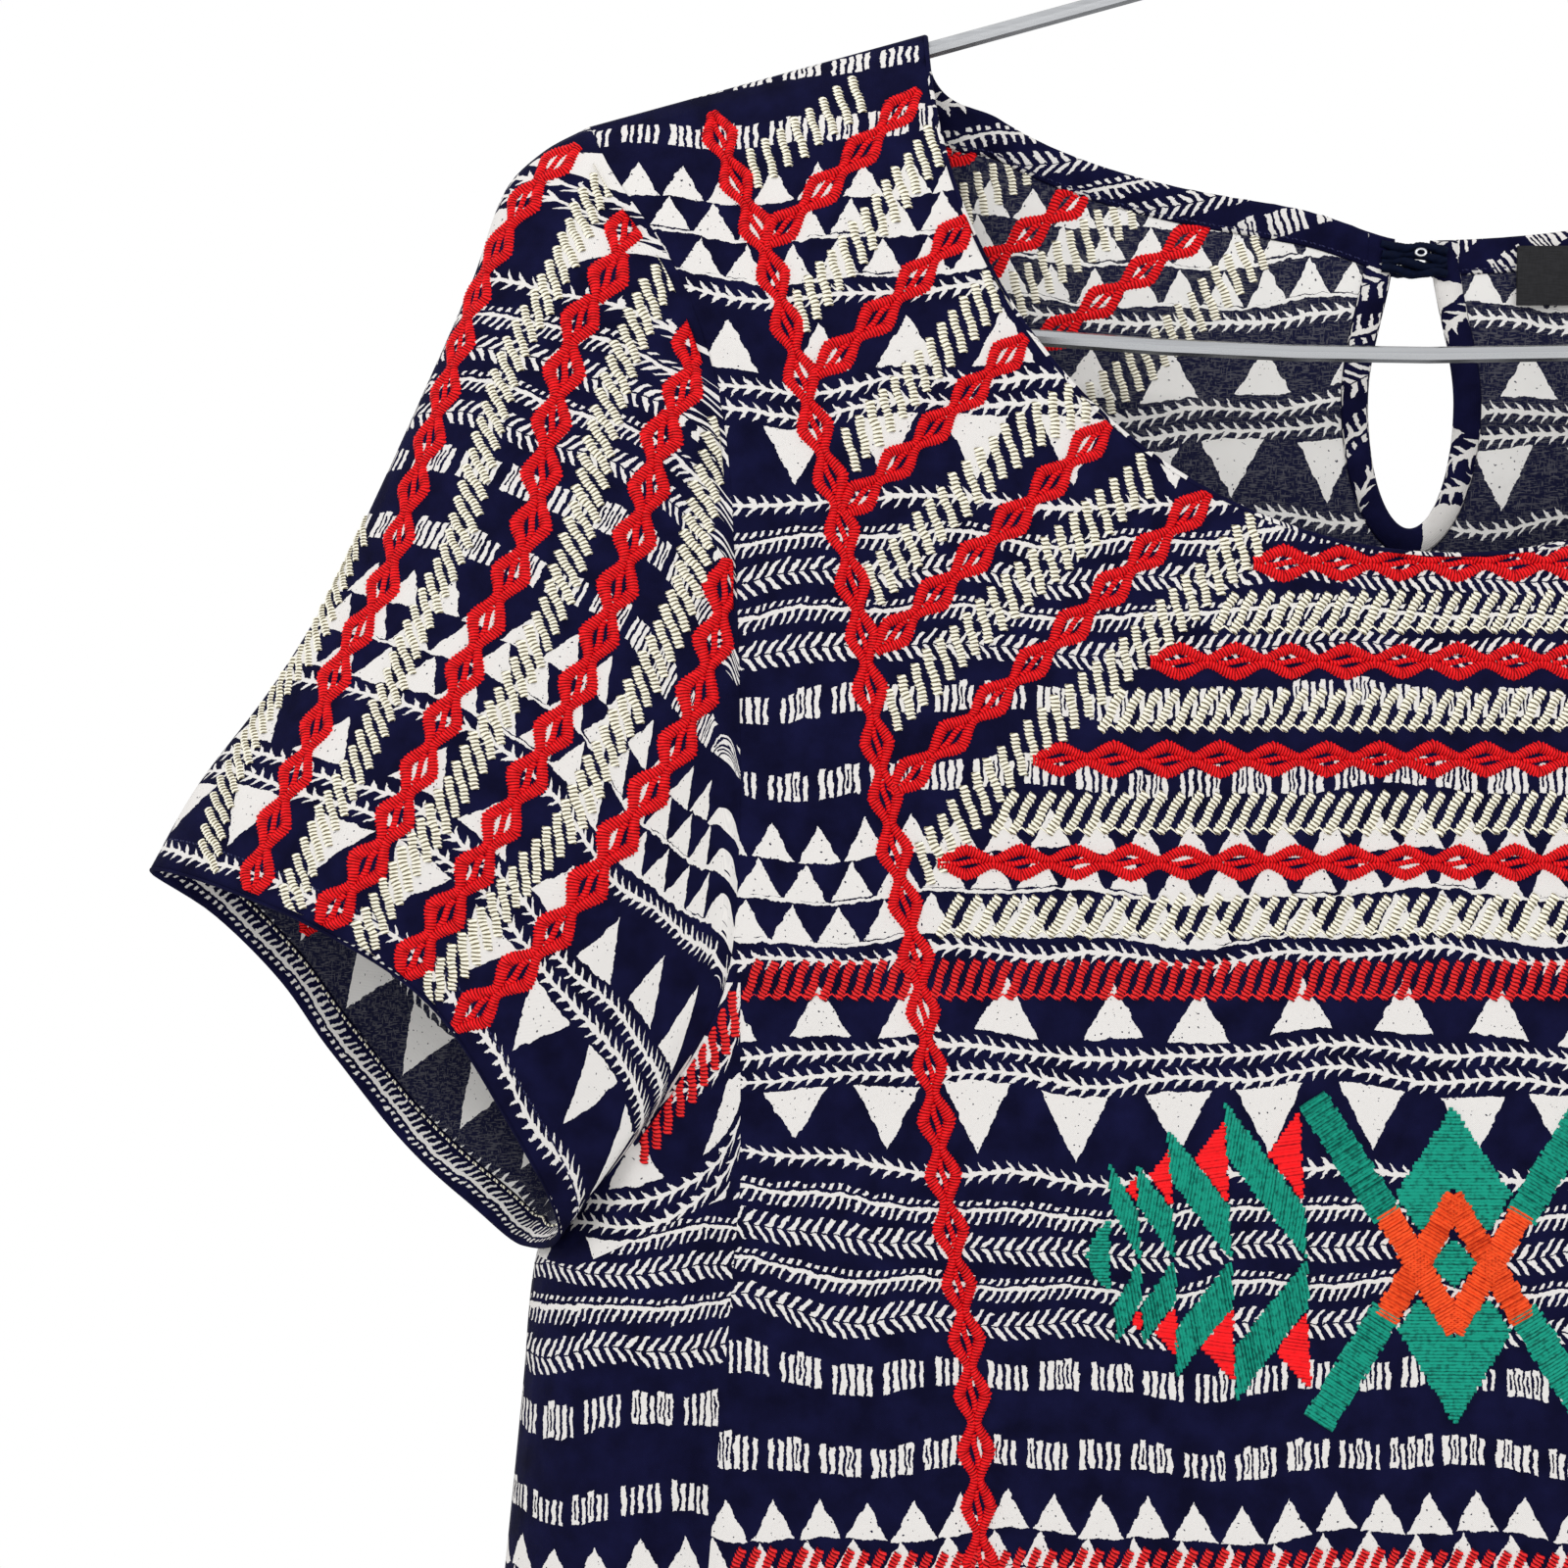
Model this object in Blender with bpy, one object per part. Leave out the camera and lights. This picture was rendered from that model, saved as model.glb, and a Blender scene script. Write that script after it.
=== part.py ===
"""A short-sleeved shift dress on a steel wire hanger, as named solids.

Metres, +Z up. The dress faces -Y and its centre front is at X = 0. The origin is the top of
the inside of the hanger's hook, where a rail or a peg carries it.
"""

import math
from collections import namedtuple

import bmesh
import bpy
from mathutils import Vector

MM = 0.001

# Cloth
WALL = 1.0 * MM
SEAM = 0.3 * MM
FRONT, BACK = -1, 1

# Steel wire hanger
WIRE_R = 2.1 * MM
HOOK_R = 22.0 * MM
HOOK_CENTRE_Z = WIRE_R - HOOK_R
HOOK_TIP_DEG = 208.0
HOOK_NECK_DEG = -58.0
NECK_TOP_Z = -58.0 * MM
APEX_Z = -86.5 * MM
ARM_SLOPE = 0.275
BAR_Z = -181.5 * MM
BAR_SAG = 15.7 * MM
HANGER_HALF = 222.0 * MM
HANGER_END_R = 19.3 * MM
HOOK_BEND_X, HOOK_BEND_RISE = 3.5 * MM, 9.0 * MM
HOOK_STEPS, END_STEPS, BAR_STEPS = 16, 9, 6

# Shoulder line: the middle of the cloth where it lies over the hanger's arm
SHOULDER_OVER_ARM = WIRE_R + 1.7 * MM
SHOULDER_BEND_R = 3.4 * MM
SHOULDER_X = 210.0 * MM

# Neckline: the finished edge, the binding beyond it, and the keyhole at the back
NECK_HALF = 126.0 * MM
FRONT_NECK_Z = -249.5 * MM
BACK_NECK_Z = -165.5 * MM
BINDING = 8.5 * MM
BINDING_WALL = 1.8 * MM
KEYHOLE_TOP_HALF = 5.0 * MM
KEYHOLE_HALF = 11.4 * MM
KEYHOLE_WIDEST_Z = -207.0 * MM
KEYHOLE_END_Z = -239.0 * MM
KEYHOLE_BINDING = 6.5 * MM
# The back's columns make room for the keyhole this many half widths out
KEYHOLE_REACH = 4

# Side seams and hem
UNDERARM_X, UNDERARM_Z = 216.0 * MM, -409.0 * MM
HEM_Z = -998.0 * MM
SIDE_ROUND = 36.0 * MM

Section = namedtuple("Section", "z half_width front_depth back_depth")
SECTIONS = [
    Section(-1.000, 0.2770, 0.046, 0.042),
    Section(-0.800, 0.2590, 0.043, 0.040),
    Section(-0.600, 0.2410, 0.038, 0.036),
    Section(-0.500, 0.2308, 0.035, 0.033),
    Section(-0.451, 0.2260, 0.033, 0.031),
    Section(-0.432, 0.2245, 0.032, 0.030),
    Section(-0.418, 0.2218, 0.032, 0.029),
    Section(-0.409, 0.2160, 0.032, 0.028),
    Section(-0.380, 0.2270, 0.031, 0.026),
    Section(-0.300, 0.2550, 0.029, 0.022),
    Section(-0.220, 0.2830, 0.027, 0.018),
    Section(-0.100, 0.3250, 0.024, 0.015),
]

# The armhole seam, from the shoulder point down to the underarm
ArmholePoint = namedtuple("ArmholePoint", "x z")
ARMHOLE = [
    ArmholePoint(0.2037, -0.1540),
    ArmholePoint(0.1873, -0.1800),
    ArmholePoint(0.1770, -0.2110),
    ArmholePoint(0.1733, -0.2480),
    ArmholePoint(0.1720, -0.2860),
    ArmholePoint(0.1725, -0.3280),
    ArmholePoint(0.1760, -0.3550),
    ArmholePoint(0.1880, -0.3770),
    ArmholePoint(0.2020, -0.3960),
]

# Soft upright folds. They start at start_z and reach their full height FOLD_RAMP times sooner than the hem.
FOLD_RAMP = 1.4
Fold = namedtuple("Fold", "x_start x_hem half_width height start_z")
FRONT_FOLDS = [
    Fold(-0.118, -0.152, 0.030, 0.013, -0.36),
    Fold(-0.050, -0.068, 0.034, 0.011, -0.42),
    Fold(0.022, 0.030, 0.030, 0.014, -0.33),
    Fold(0.092, 0.118, 0.036, 0.012, -0.38),
    Fold(0.176, 0.214, 0.026, 0.008, -0.50),
    Fold(-0.186, -0.222, 0.024, 0.009, -0.47),
]
BACK_FOLDS = [
    Fold(-0.150, -0.186, 0.036, 0.012, -0.34),
    Fold(-0.074, -0.098, 0.032, 0.014, -0.30),
    Fold(0.006, 0.008, 0.036, 0.011, -0.38),
    Fold(0.080, 0.104, 0.030, 0.015, -0.28),
    Fold(0.146, 0.190, 0.034, 0.012, -0.36),
]

# The centre front stands forward of the sides, along a fold that drops from each armhole.
DROP_FOLD_START = ArmholePoint(0.1735, -0.352)
DROP_FOLD_HEM_X = 0.205
DROP_FOLD_STEP = 5.0 * MM
DROP_FOLD_WIDTH = 9.0 * MM
DROP_FOLD_RAMP = 12

# Sleeve hem, once round from the outer corner: down the front edge and up the back edge
HemPoint = namedtuple("HemPoint", "x y z")
SLEEVE_HEM = [
    HemPoint(0.3199, 0.0000, -0.3262),
    HemPoint(0.3010, -0.0150, -0.3288),
    HemPoint(0.2700, -0.0280, -0.3405),
    HemPoint(0.2440, -0.0305, -0.3585),
    HemPoint(0.2250, -0.0295, -0.3880),
    HemPoint(0.2155, -0.0235, -0.4120),
    HemPoint(0.2268, -0.0030, -0.4190),
    HemPoint(0.2441, 0.0140, -0.4096),
    HemPoint(0.2640, 0.0220, -0.3930),
    HemPoint(0.2790, 0.0225, -0.3735),
    HemPoint(0.2910, 0.0195, -0.3555),
    HemPoint(0.3070, 0.0120, -0.3375),
]
# How far the sleeve's top line stands out from a straight line, from the shoulder to the hem
TopLine = namedtuple("TopLine", "s out")
SLEEVE_TOP = [
    TopLine(0.00, 0.0),
    TopLine(0.05, 0.0065),
    TopLine(0.11, 0.0098),
    TopLine(0.22, 0.0055),
    TopLine(0.36, 0.0018),
    TopLine(0.49, -0.0012),
    TopLine(0.62, -0.0036),
    TopLine(0.75, -0.0030),
    TopLine(0.89, 0.0004),
    TopLine(1.00, 0.0),
]
SLEEVE_BELLY = 5.0 * MM
# A sleeve laps over its panel where it leaves the seam less straight on than this
SEAM_LAP = 0.8

# The closing pulls the back neck down on its left: beside the dip the neckline lies higher
NECK_RISE = 7.5 * MM
NECK_RISE_DIP = 20.0 * MM
NECK_RISE_END = 20.0 * MM
NECK_RISE_FROM_Z, NECK_RISE_FULL_Z = -235.0 * MM, -168.0 * MM

# Closing at the top of the keyhole, and the label beside it
BUTTON_FROM_EDGE = 4.2 * MM
BUTTON_R = 4.5 * MM
BUTTON_THICK = 2.2 * MM
BUTTON_UNDERCUT, BUTTON_CROWN, BUTTON_CROWN_INSET = 0.5 * MM, 0.7 * MM, 1.2 * MM
BUTTON_SIDES = 16
SHANK_R = 1.1 * MM
SHANK_LONG = 2.6 * MM
LOOP_R = 0.8 * MM
LOOP_ROOT_IN, LOOP_CLEAR, LOOP_STEPS = 3.0 * MM, 0.1 * MM, 8
LABEL_X, LABEL_TOP_Z = 26.5 * MM, -166.8 * MM
LABEL_WIDE, LABEL_TALL, LABEL_THICK = 26.0 * MM, 15.0 * MM, 1.0 * MM

# The neck seam's share of a half panel's columns
NECK_SHARE = 0.66
# Columns of a half panel, from the centre to the side seam, closer where the cloth turns
COLUMNS = [0.0, 0.06, 0.12, 0.18, 0.24, 0.30, 0.36, 0.42, 0.48, 0.54, 0.595, 0.635, 0.651, 0.6575,
           NECK_SHARE, 0.71, 0.76, 0.81, 0.86, 0.905, 0.942, 0.968, 0.987, 0.9965, 1.0]
# Rows up the body, closer below the underarm, as shares of the way to it
BODY_ROWS = [0.0, 0.125, 0.25, 0.375, 0.5, 0.625, 0.75, 0.86, 0.93, 0.962, 0.984]
# Rows up the armhole, closer just above the underarm, as shares of the way to the keyhole's foot
ARMHOLE_ROWS = [0.0, 0.015, 0.045, 0.09, 0.16, 0.25, 0.37, 0.50, 0.64, 0.78, 0.90]
# Rows just under the shoulder seam, where the cloth turns over the hanger's arm
TURN_ROWS = [0.970, 0.987, 0.995, 0.9988, 1.0]
FRONT_HIGH_ROWS = [0.93, 0.95]
# Turns round the lower end of the keyhole, from its foot to its widest
KEYHOLE_TURNS = [math.radians(d) for d in (90, 75, 60, 45, 30, 15, 0)]

# The hem's share at each share round the armhole, so that the cloth's threads hang straight
HEM_SHARE = ([0.0, 0.045, 0.19, 0.36, 0.5], [0.0, 0.10, 0.27, 0.415, 0.5])
# Rows down a sleeve, closer at the armhole seam
SLEEVE_STEPS = [0.0, 0.05, 0.13, 0.25, 0.38, 0.52, 0.68, 0.84, 1.0]

NAVY = (0.012, 0.013, 0.045, 1.0)
LABEL_BLACK = (0.012, 0.012, 0.010, 1.0)
STEEL = (0.62, 0.63, 0.65, 1.0)


def smooth(t):
    """0 to 1, level at both ends."""
    t = min(max(t, 0.0), 1.0)
    return t * t * (3.0 - 2.0 * t)


def hermite(p0, p1, p2, p3, x0, x1, x2, x3, x):
    """A cubic through p1 and p2 whose slopes come from the neighbours."""
    span = x2 - x1
    m1 = (p2 - p0) / (x2 - x0) * span
    m2 = (p3 - p1) / (x3 - x1) * span
    t = (x - x1) / span
    return (
        (2 * t**3 - 3 * t**2 + 1) * p1
        + (t**3 - 2 * t**2 + t) * m1
        + (3 * t**2 - 2 * t**3) * p2
        + (t**3 - t**2) * m2
    )


def interpolate(xs, ps, x):
    """A smooth value at x through the points (xs, ps). xs rises."""
    x = min(max(x, xs[0]), xs[-1])
    k = max(i for i in range(len(xs) - 1) if xs[i] <= x)
    x0 = xs[k - 1] if k > 0 else 2 * xs[0] - xs[1]
    p0 = ps[k - 1] if k > 0 else 2 * ps[0] - ps[1]
    last = k + 2 >= len(xs)
    x3 = 2 * xs[-1] - xs[-2] if last else xs[k + 2]
    p3 = 2 * ps[-1] - ps[-2] if last else ps[k + 2]
    return hermite(p0, ps[k], ps[k + 1], p3, x0, xs[k], xs[k + 1], x3, x)


def section(column, z):
    return interpolate([s.z for s in SECTIONS], [getattr(s, column) for s in SECTIONS], z)


def shoulder_z(x):
    return APEX_Z + SHOULDER_OVER_ARM - ARM_SLOPE * abs(x)


def folds(x, z, side):
    """How far the folds stand out from the panel at (x, z)."""
    out = 0.0
    for f in FRONT_FOLDS if side == FRONT else BACK_FOLDS:
        down = (f.start_z - z) / (f.start_z - HEM_Z)
        if down <= 0:
            continue
        centre = f.x_start + (f.x_hem - f.x_start) * down
        across = abs(x - centre) / f.half_width
        if across < 1:
            out += f.height * smooth(down * FOLD_RAMP) * math.cos(across * math.pi / 2) ** 2
    if side == FRONT:
        down = (DROP_FOLD_START.z - z) / (DROP_FOLD_START.z - HEM_Z)
        edge = DROP_FOLD_START.x + (DROP_FOLD_HEM_X - DROP_FOLD_START.x) * max(down, 0.0)
        beyond = smooth((abs(x) - edge) / DROP_FOLD_WIDTH + 0.5)
        out -= DROP_FOLD_STEP * smooth(down * DROP_FOLD_RAMP) * beyond
    return out


def body_y(x, z, side):
    """The middle of the body's cloth at (x, z): over the hanger's arm, round the sides, with the folds."""
    below = max(shoulder_z(x) - z, 0.0)
    inward = max(section("half_width", z) - abs(x), 0.0)
    depth = section("front_depth" if side == FRONT else "back_depth", z)
    fall = depth * depth / (2 * SHOULDER_BEND_R)
    over = math.sqrt(1 - math.exp(-below / fall))
    around = math.sqrt(1 - (1 - min(inward / SIDE_ROUND, 1.0)) ** 2)
    y = depth * over * around + folds(x, z, side) * around
    return side * max(y, SEAM / 2)


def armhole_point(tau, side):
    """On the armhole seam: tau 0 at the shoulder, 1 at the underarm."""
    xs = [SHOULDER_X] + [p.x for p in ARMHOLE] + [UNDERARM_X]
    zs = [shoulder_z(SHOULDER_X)] + [p.z for p in ARMHOLE] + [UNDERARM_Z]
    z = zs[0] + (zs[-1] - zs[0]) * tau
    x = interpolate([-v for v in zs], xs, -z)
    return Vector((x, body_y(x, z, side), z))


def edge_x(z):
    """The half panel's outer edge: the side seam, then the armhole."""
    if z <= UNDERARM_Z:
        return section("half_width", z)
    top = shoulder_z(SHOULDER_X)
    return armhole_point((top - z) / (top - UNDERARM_Z), FRONT).x


def neck_curve(angle, side, out):
    """(x, z) on the neckline, moved out by out from its finished edge. Angle 0 is the shoulder."""
    x = (NECK_HALF + out) * math.cos(angle)
    return x, neck_z(x, side, out)


def neck_z(x, side, out):
    """The neckline's height at x, moved out by out from its finished edge."""
    half = NECK_HALF + out
    low = (FRONT_NECK_Z if side == FRONT else BACK_NECK_Z) - out
    top = shoulder_z(half)
    return top - (top - low) * math.sqrt(max(1 - (x / half) ** 2, 0.0))


def neck_rise(x, z, side):
    """How much higher the back hangs at (x, z), on the left of the closing alone."""
    if side == FRONT or x >= 0:
        return 0.0
    beside = 1 - math.exp(-((x / NECK_RISE_DIP) ** 2))
    before_end = smooth((NECK_HALF + x) / NECK_RISE_END)
    upward = smooth((z - NECK_RISE_FROM_Z) / (NECK_RISE_FULL_Z - NECK_RISE_FROM_Z))
    return NECK_RISE * beside * before_end * upward


def keyhole_half(z, out):
    """Half the width of the keyhole at z, moved out by out from its finished edge."""
    end = KEYHOLE_END_Z - out
    if z < end:
        return 0.0
    if z < KEYHOLE_WIDEST_Z:
        return (KEYHOLE_HALF + out) * math.sqrt(1 - ((KEYHOLE_WIDEST_Z - z) / (KEYHOLE_WIDEST_Z - end)) ** 2)
    up = (z - KEYHOLE_WIDEST_Z) / (BACK_NECK_Z - KEYHOLE_WIDEST_Z)
    return KEYHOLE_HALF + out + (KEYHOLE_TOP_HALF - KEYHOLE_HALF) * smooth(up)


def top_edge(a, side):
    """(x, z) on a half panel's top edge: the neck seam up to NECK_SHARE, then the shoulder seam."""
    out = BINDING + SEAM
    if a < NECK_SHARE:
        return neck_curve((1 - a / NECK_SHARE) * math.pi / 2, side, out)
    start = NECK_HALF + out
    x = start + (SHOULDER_X - start) * (a - NECK_SHARE) / (1 - NECK_SHARE)
    return x, shoulder_z(x)


def keyhole_foot(out, turn):
    """A height on the rounded lower end of the keyhole, moved out by out."""
    return KEYHOLE_WIDEST_Z - (KEYHOLE_WIDEST_Z - KEYHOLE_END_Z + out) * math.sin(turn)


def panel_rows(side):
    """Shares of a panel's height, from the hem to the top, with one row at the underarm."""
    underarm = (UNDERARM_Z - HEM_Z) / (shoulder_z(SHOULDER_X) - HEM_Z)
    centre_top = BACK_NECK_Z - BINDING - SEAM
    out = KEYHOLE_BINDING + SEAM
    turns = [(keyhole_foot(out, turn) - HEM_Z) / (centre_top - HEM_Z) for turn in KEYHOLE_TURNS]
    if side == FRONT:
        turns = FRONT_HIGH_ROWS
    low = [underarm * share for share in BODY_ROWS]
    high = [underarm + (turns[0] - underarm) * share for share in ARMHOLE_ROWS]
    return low + high + turns + TURN_ROWS


def half_panel_point(a, v, side):
    """A point of the half panel at column a and row v, both 0 to 1, with X from the centre out."""
    top_x, top_z = top_edge(a, side)
    edge = edge_x(HEM_Z + v * (shoulder_z(SHOULDER_X) - HEM_Z))
    corner = NECK_HALF + BINDING + SEAM
    upright = top_x
    if a > NECK_SHARE:
        upright = corner + (edge - corner) * (a - NECK_SHARE) / (1 - NECK_SHARE)
    x = a * edge + (upright - a * edge) * smooth(v)
    z = HEM_Z + v * (top_z - HEM_Z)
    if side == BACK:
        out = KEYHOLE_BINDING + SEAM
        reach = KEYHOLE_REACH * (KEYHOLE_HALF + out)
        x += keyhole_half(z, out) * max(1 - x / reach, 0.0)
        if v == 1.0 and a < NECK_SHARE:
            z = neck_z(x, side, BINDING + SEAM)
    return x, z


def wall_from(name, points, faces, normals, thickness, colour, roughness=0.85):
    """A closed wall: the open surface moved out and in by half the thickness, and its rim."""
    half = thickness / 2
    bm = bmesh.new()
    outer = [bm.verts.new(p + n * half) for p, n in zip(points, normals)]
    inner = [bm.verts.new(p - n * half) for p, n in zip(points, normals)]
    edges = set()
    for face in faces:
        bm.faces.new([outer[i] for i in face])
        bm.faces.new([inner[i] for i in reversed(face)])
        for i, j in zip(face, face[1:] + face[:1]):
            edges.add((i, j))
    for i, j in sorted(edges):
        if (j, i) not in edges:
            bm.faces.new([outer[j], outer[i], inner[i], inner[j]])
    bmesh.ops.triangulate(bm, faces=bm.faces[:])
    return add_object(name, bm, colour, roughness)


def add_object(name, bm, colour, roughness=0.85, metallic=0.0):
    mesh = bpy.data.meshes.new(name)
    bm.to_mesh(mesh)
    bm.free()
    obj = bpy.data.objects.new(name, mesh)
    PARTS.objects.link(obj)
    mesh.materials.append(material(name, colour, roughness, metallic))
    mesh.shade_smooth()
    return obj


def material(name, colour, roughness, metallic):
    made = bpy.data.materials.new(name)
    made.use_nodes = True
    shader = made.node_tree.nodes["Principled BSDF"]
    shader.inputs["Base Color"].default_value = colour
    shader.inputs["Roughness"].default_value = roughness
    shader.inputs["Metallic"].default_value = metallic
    made.diffuse_color = colour
    return made


def surface_normals(points, faces):
    """Each point's normal, from the faces round it."""
    sums = [Vector((0, 0, 0)) for _ in points]
    for face in faces:
        corners = [points[i] for i in face]
        n = (corners[2] - corners[0]).cross(corners[3 % len(face)] - corners[1])
        for i in face:
            sums[i] += n
    return [n.normalized() for n in sums]


def build_panel(name, side):
    """The front or the back, as one wall. The back is split by the keyhole."""
    rows = panel_rows(side)
    points, index = [], {}
    columns = [-a for a in reversed(COLUMNS)] + COLUMNS
    for r, v in enumerate(rows):
        for c, a in enumerate(columns):
            x, z = half_panel_point(abs(a), v, side)
            left = c < len(COLUMNS)
            if x < 1e-7 and not left:
                index[(r, c)] = index[(r, c - 1)]
                continue
            index[(r, c)] = len(points)
            x = -x if left else x
            z += neck_rise(x, z, side)
            points.append(Vector((x, body_y(x, z, side), z)))
    faces = []
    for r in range(len(rows) - 1):
        for c in range(len(columns) - 1):
            if c == len(COLUMNS) - 1:
                continue
            quad = [index[(r, c)], index[(r, c + 1)], index[(r + 1, c + 1)], index[(r + 1, c)]]
            faces.append(quad if side == FRONT else quad[::-1])
    normals = surface_normals(points, faces)
    for (r, c), i in index.items():
        if abs(columns[c]) == 1.0 and points[i].z <= UNDERARM_Z + MM:
            normals[i] = Vector((math.copysign(1.0, points[i].x), 0, 0))
        if rows[r] == 1.0 and abs(columns[c]) >= NECK_SHARE:
            slope = math.copysign(ARM_SLOPE, points[i].x)
            normals[i] = Vector((slope, 0, 1)).normalized()
    return wall_from(name, points, faces, normals, WALL, NAVY)


def cumulative(points):
    """Each point's share of the way along the line of points."""
    along = [0.0]
    for a, b in zip(points, points[1:]):
        along.append(along[-1] + (b - a).length)
    return [s / along[-1] for s in along]


def armhole_line(side):
    """The right armhole seam at the panel's rows, from the shoulder to the underarm."""
    top = shoulder_z(SHOULDER_X)
    zs = [HEM_Z + v * (top - HEM_Z) for v in reversed(panel_rows(side))]
    line = [armhole_point((top - z) / (top - UNDERARM_Z), side) for z in zs if z > UNDERARM_Z - 0.01 * MM]
    for p in (line[0], line[-1]):
        p.y = 0.0
    return line


def outward_normal(p, side):
    """Out of the panel at the armhole point p."""
    if p.y == 0.0:
        return Vector((1, 0, 0)) if p.z < ARMHOLE[0].z else Vector((ARM_SLOPE, 0, 1)).normalized()
    step = 1 * MM
    along_x = (body_y(p.x, p.z, side) - body_y(p.x - step, p.z, side)) / step
    along_z = (body_y(p.x, p.z + step, side) - body_y(p.x, p.z - step, side)) / (2 * step)
    return (Vector((along_x, -1, along_z)) * -side).normalized()


def seam_shift(seam, away, out):
    """The move that leaves a gap between the sleeve and the panel it is sewn to."""
    edge = out.cross(seam).normalized()
    away = (away - seam * away.dot(seam)).normalized()
    over = smooth(SEAM_LAP - away.dot(edge))
    return edge * (SEAM + WALL / 2 * abs(away.dot(out))) + out * (WALL + SEAM) * over


def hem_point(t):
    """The right sleeve's hem, once round as t goes from 0 to 1."""
    count = len(SLEEVE_HEM)
    k = math.floor(t * count)
    p = [SLEEVE_HEM[(k + i) % count] for i in (-1, 0, 1, 2)]
    return Vector([hermite(*[q[axis] for q in p], -1, 0, 1, 2, t * count - k) for axis in range(3)])


def sleeve_point(start, t, s):
    """The right sleeve: t once round from the top, s from the armhole point start to the hem."""
    forward = t <= 0.5
    half = t if forward else 1 - t
    hem_half = interpolate(*HEM_SHARE, half)
    end = hem_point(hem_half if forward else (1 - hem_half) % 1.0)
    p = start.lerp(end, s)
    across = (end - start).normalized()
    outward = Vector((-across.z, 0, across.x))
    out = interpolate([r.s for r in SLEEVE_TOP], [r.out for r in SLEEVE_TOP], s)
    p += outward * out * max(math.cos(2 * math.pi * half), 0.0) ** 3
    p.y += (FRONT if forward else BACK) * SLEEVE_BELLY * math.sin(math.pi * s) * math.sin(2 * math.pi * half)
    return p


def build_sleeve(name, sign):
    """One sleeve as a tube, open at the armhole and at the hem. Sign is -1 for the viewer's left."""
    front, back = armhole_line(FRONT), armhole_line(BACK)
    ring = [(p, t / 2, FRONT) for p, t in zip(front, cumulative(front))]
    ring += [(p, 1 - t / 2, BACK) for p, t in reversed(list(zip(back, cumulative(back)))[1:-1])]
    n = len(ring)
    points, faces = [], []
    for s in SLEEVE_STEPS:
        points += [sleeve_point(start, t, s) for start, t, _ in ring]
    for r in range(len(SLEEVE_STEPS) - 1):
        for c in range(n):
            d = (c + 1) % n
            faces.append([r * n + c, r * n + d, (r + 1) * n + d, (r + 1) * n + c])
    normals = surface_normals(points, faces)
    for c, (start, _, side) in enumerate(ring):
        seam = (ring[(c + 1) % n][0] - ring[c - 1][0]).normalized()
        shift = seam_shift(seam, points[n + c] - points[c], outward_normal(start, side))
        for r, step in enumerate(SLEEVE_STEPS):
            points[r * n + c] += shift * (1 - step) ** 2
    if sign < 0:
        points = [Vector((-p.x, p.y, p.z)) for p in points]
        normals = [Vector((-v.x, v.y, v.z)) for v in normals]
        faces = [face[::-1] for face in faces]
    return wall_from(name, points, faces, normals, WALL, NAVY)


def neck_angles(side):
    """The turns round the neckline where the panel's columns meet it, from the centre to the shoulder."""
    half = NECK_HALF + BINDING + SEAM
    xs = [half_panel_point(a, 1.0, side)[0] for a in COLUMNS if a <= NECK_SHARE]
    return [math.acos(min(x / half, 1.0)) for x in xs]


def build_neck_binding():
    """The folded strip round the neckline, from one side of the keyhole round to the other."""
    back = [(math.acos((KEYHOLE_TOP_HALF + SEAM) / NECK_HALF), BACK, 1)]
    back += [(angle, BACK, 1) for angle in neck_angles(BACK)]
    front = [(angle, FRONT, 1) for angle in reversed(neck_angles(FRONT)[:-1])]
    half = back + front
    path = half + [(angle, side, -1) for angle, side, _ in reversed(half[:-1])]
    across = [0.0, BINDING / 2, BINDING]
    points, faces = [], []
    for angle, side, sign in path:
        for out in across:
            x, z = neck_curve(angle, side, out)
            x *= sign
            z += neck_rise(x, z, side)
            points.append(Vector((x, 0.0 if angle < 1e-6 else body_y(x, z, side), z)))
    n = len(across)
    for r in range(len(path) - 1):
        for c in range(n - 1):
            faces.append([r * n + c, r * n + c + 1, (r + 1) * n + c + 1, (r + 1) * n + c])
    normals = surface_normals(points, faces)
    return wall_from("neck_binding", points, faces, normals, BINDING_WALL, NAVY)


def build_keyhole_binding():
    """The folded strip down one side of the keyhole, round its end and up the other."""
    centre_top = BACK_NECK_Z - BINDING - SEAM
    upper = [HEM_Z + v * (centre_top - HEM_Z) for v in TURN_ROWS[:-1]]
    upper.append(centre_top - SEAM)
    points, faces = [], []
    for out in (0.0, KEYHOLE_BINDING):
        side_line = [keyhole_foot(out, turn) for turn in KEYHOLE_TURNS] + upper
        half = [(keyhole_half(z, out), z) for z in side_line]
        line = [(-x, z) for x, z in reversed(half[1:])] + half
        line = [(x, z + neck_rise(x, z, BACK)) for x, z in line]
        points += [Vector((x, body_y(x, z, BACK), z)) for x, z in line]
    n = len(points) // 2
    for k in range(n - 1):
        faces.append([k, k + 1, n + k + 1, n + k])
    normals = surface_normals(points, faces)
    return wall_from("keyhole_binding", points, faces, normals, BINDING_WALL, NAVY)


def build_label():
    """A plain woven label inside the back neck, sewn over the binding."""
    columns, rows = 4, 2
    points, faces = [], []
    for r in range(rows + 1):
        for c in range(columns + 1):
            x = LABEL_X + LABEL_WIDE * c / columns
            z = LABEL_TOP_Z - LABEL_TALL * r / rows
            inner = BINDING_WALL / 2 + SEAM + LABEL_THICK / 2
            points.append(Vector((x, body_y(x, z, BACK) - inner, z)))
    n = columns + 1
    for r in range(rows):
        for c in range(columns):
            faces.append([r * n + c, r * n + c + 1, (r + 1) * n + c + 1, (r + 1) * n + c])
    normals = surface_normals(points, faces)
    return wall_from("neck_label", points, faces, normals, LABEL_THICK, LABEL_BLACK)


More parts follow.
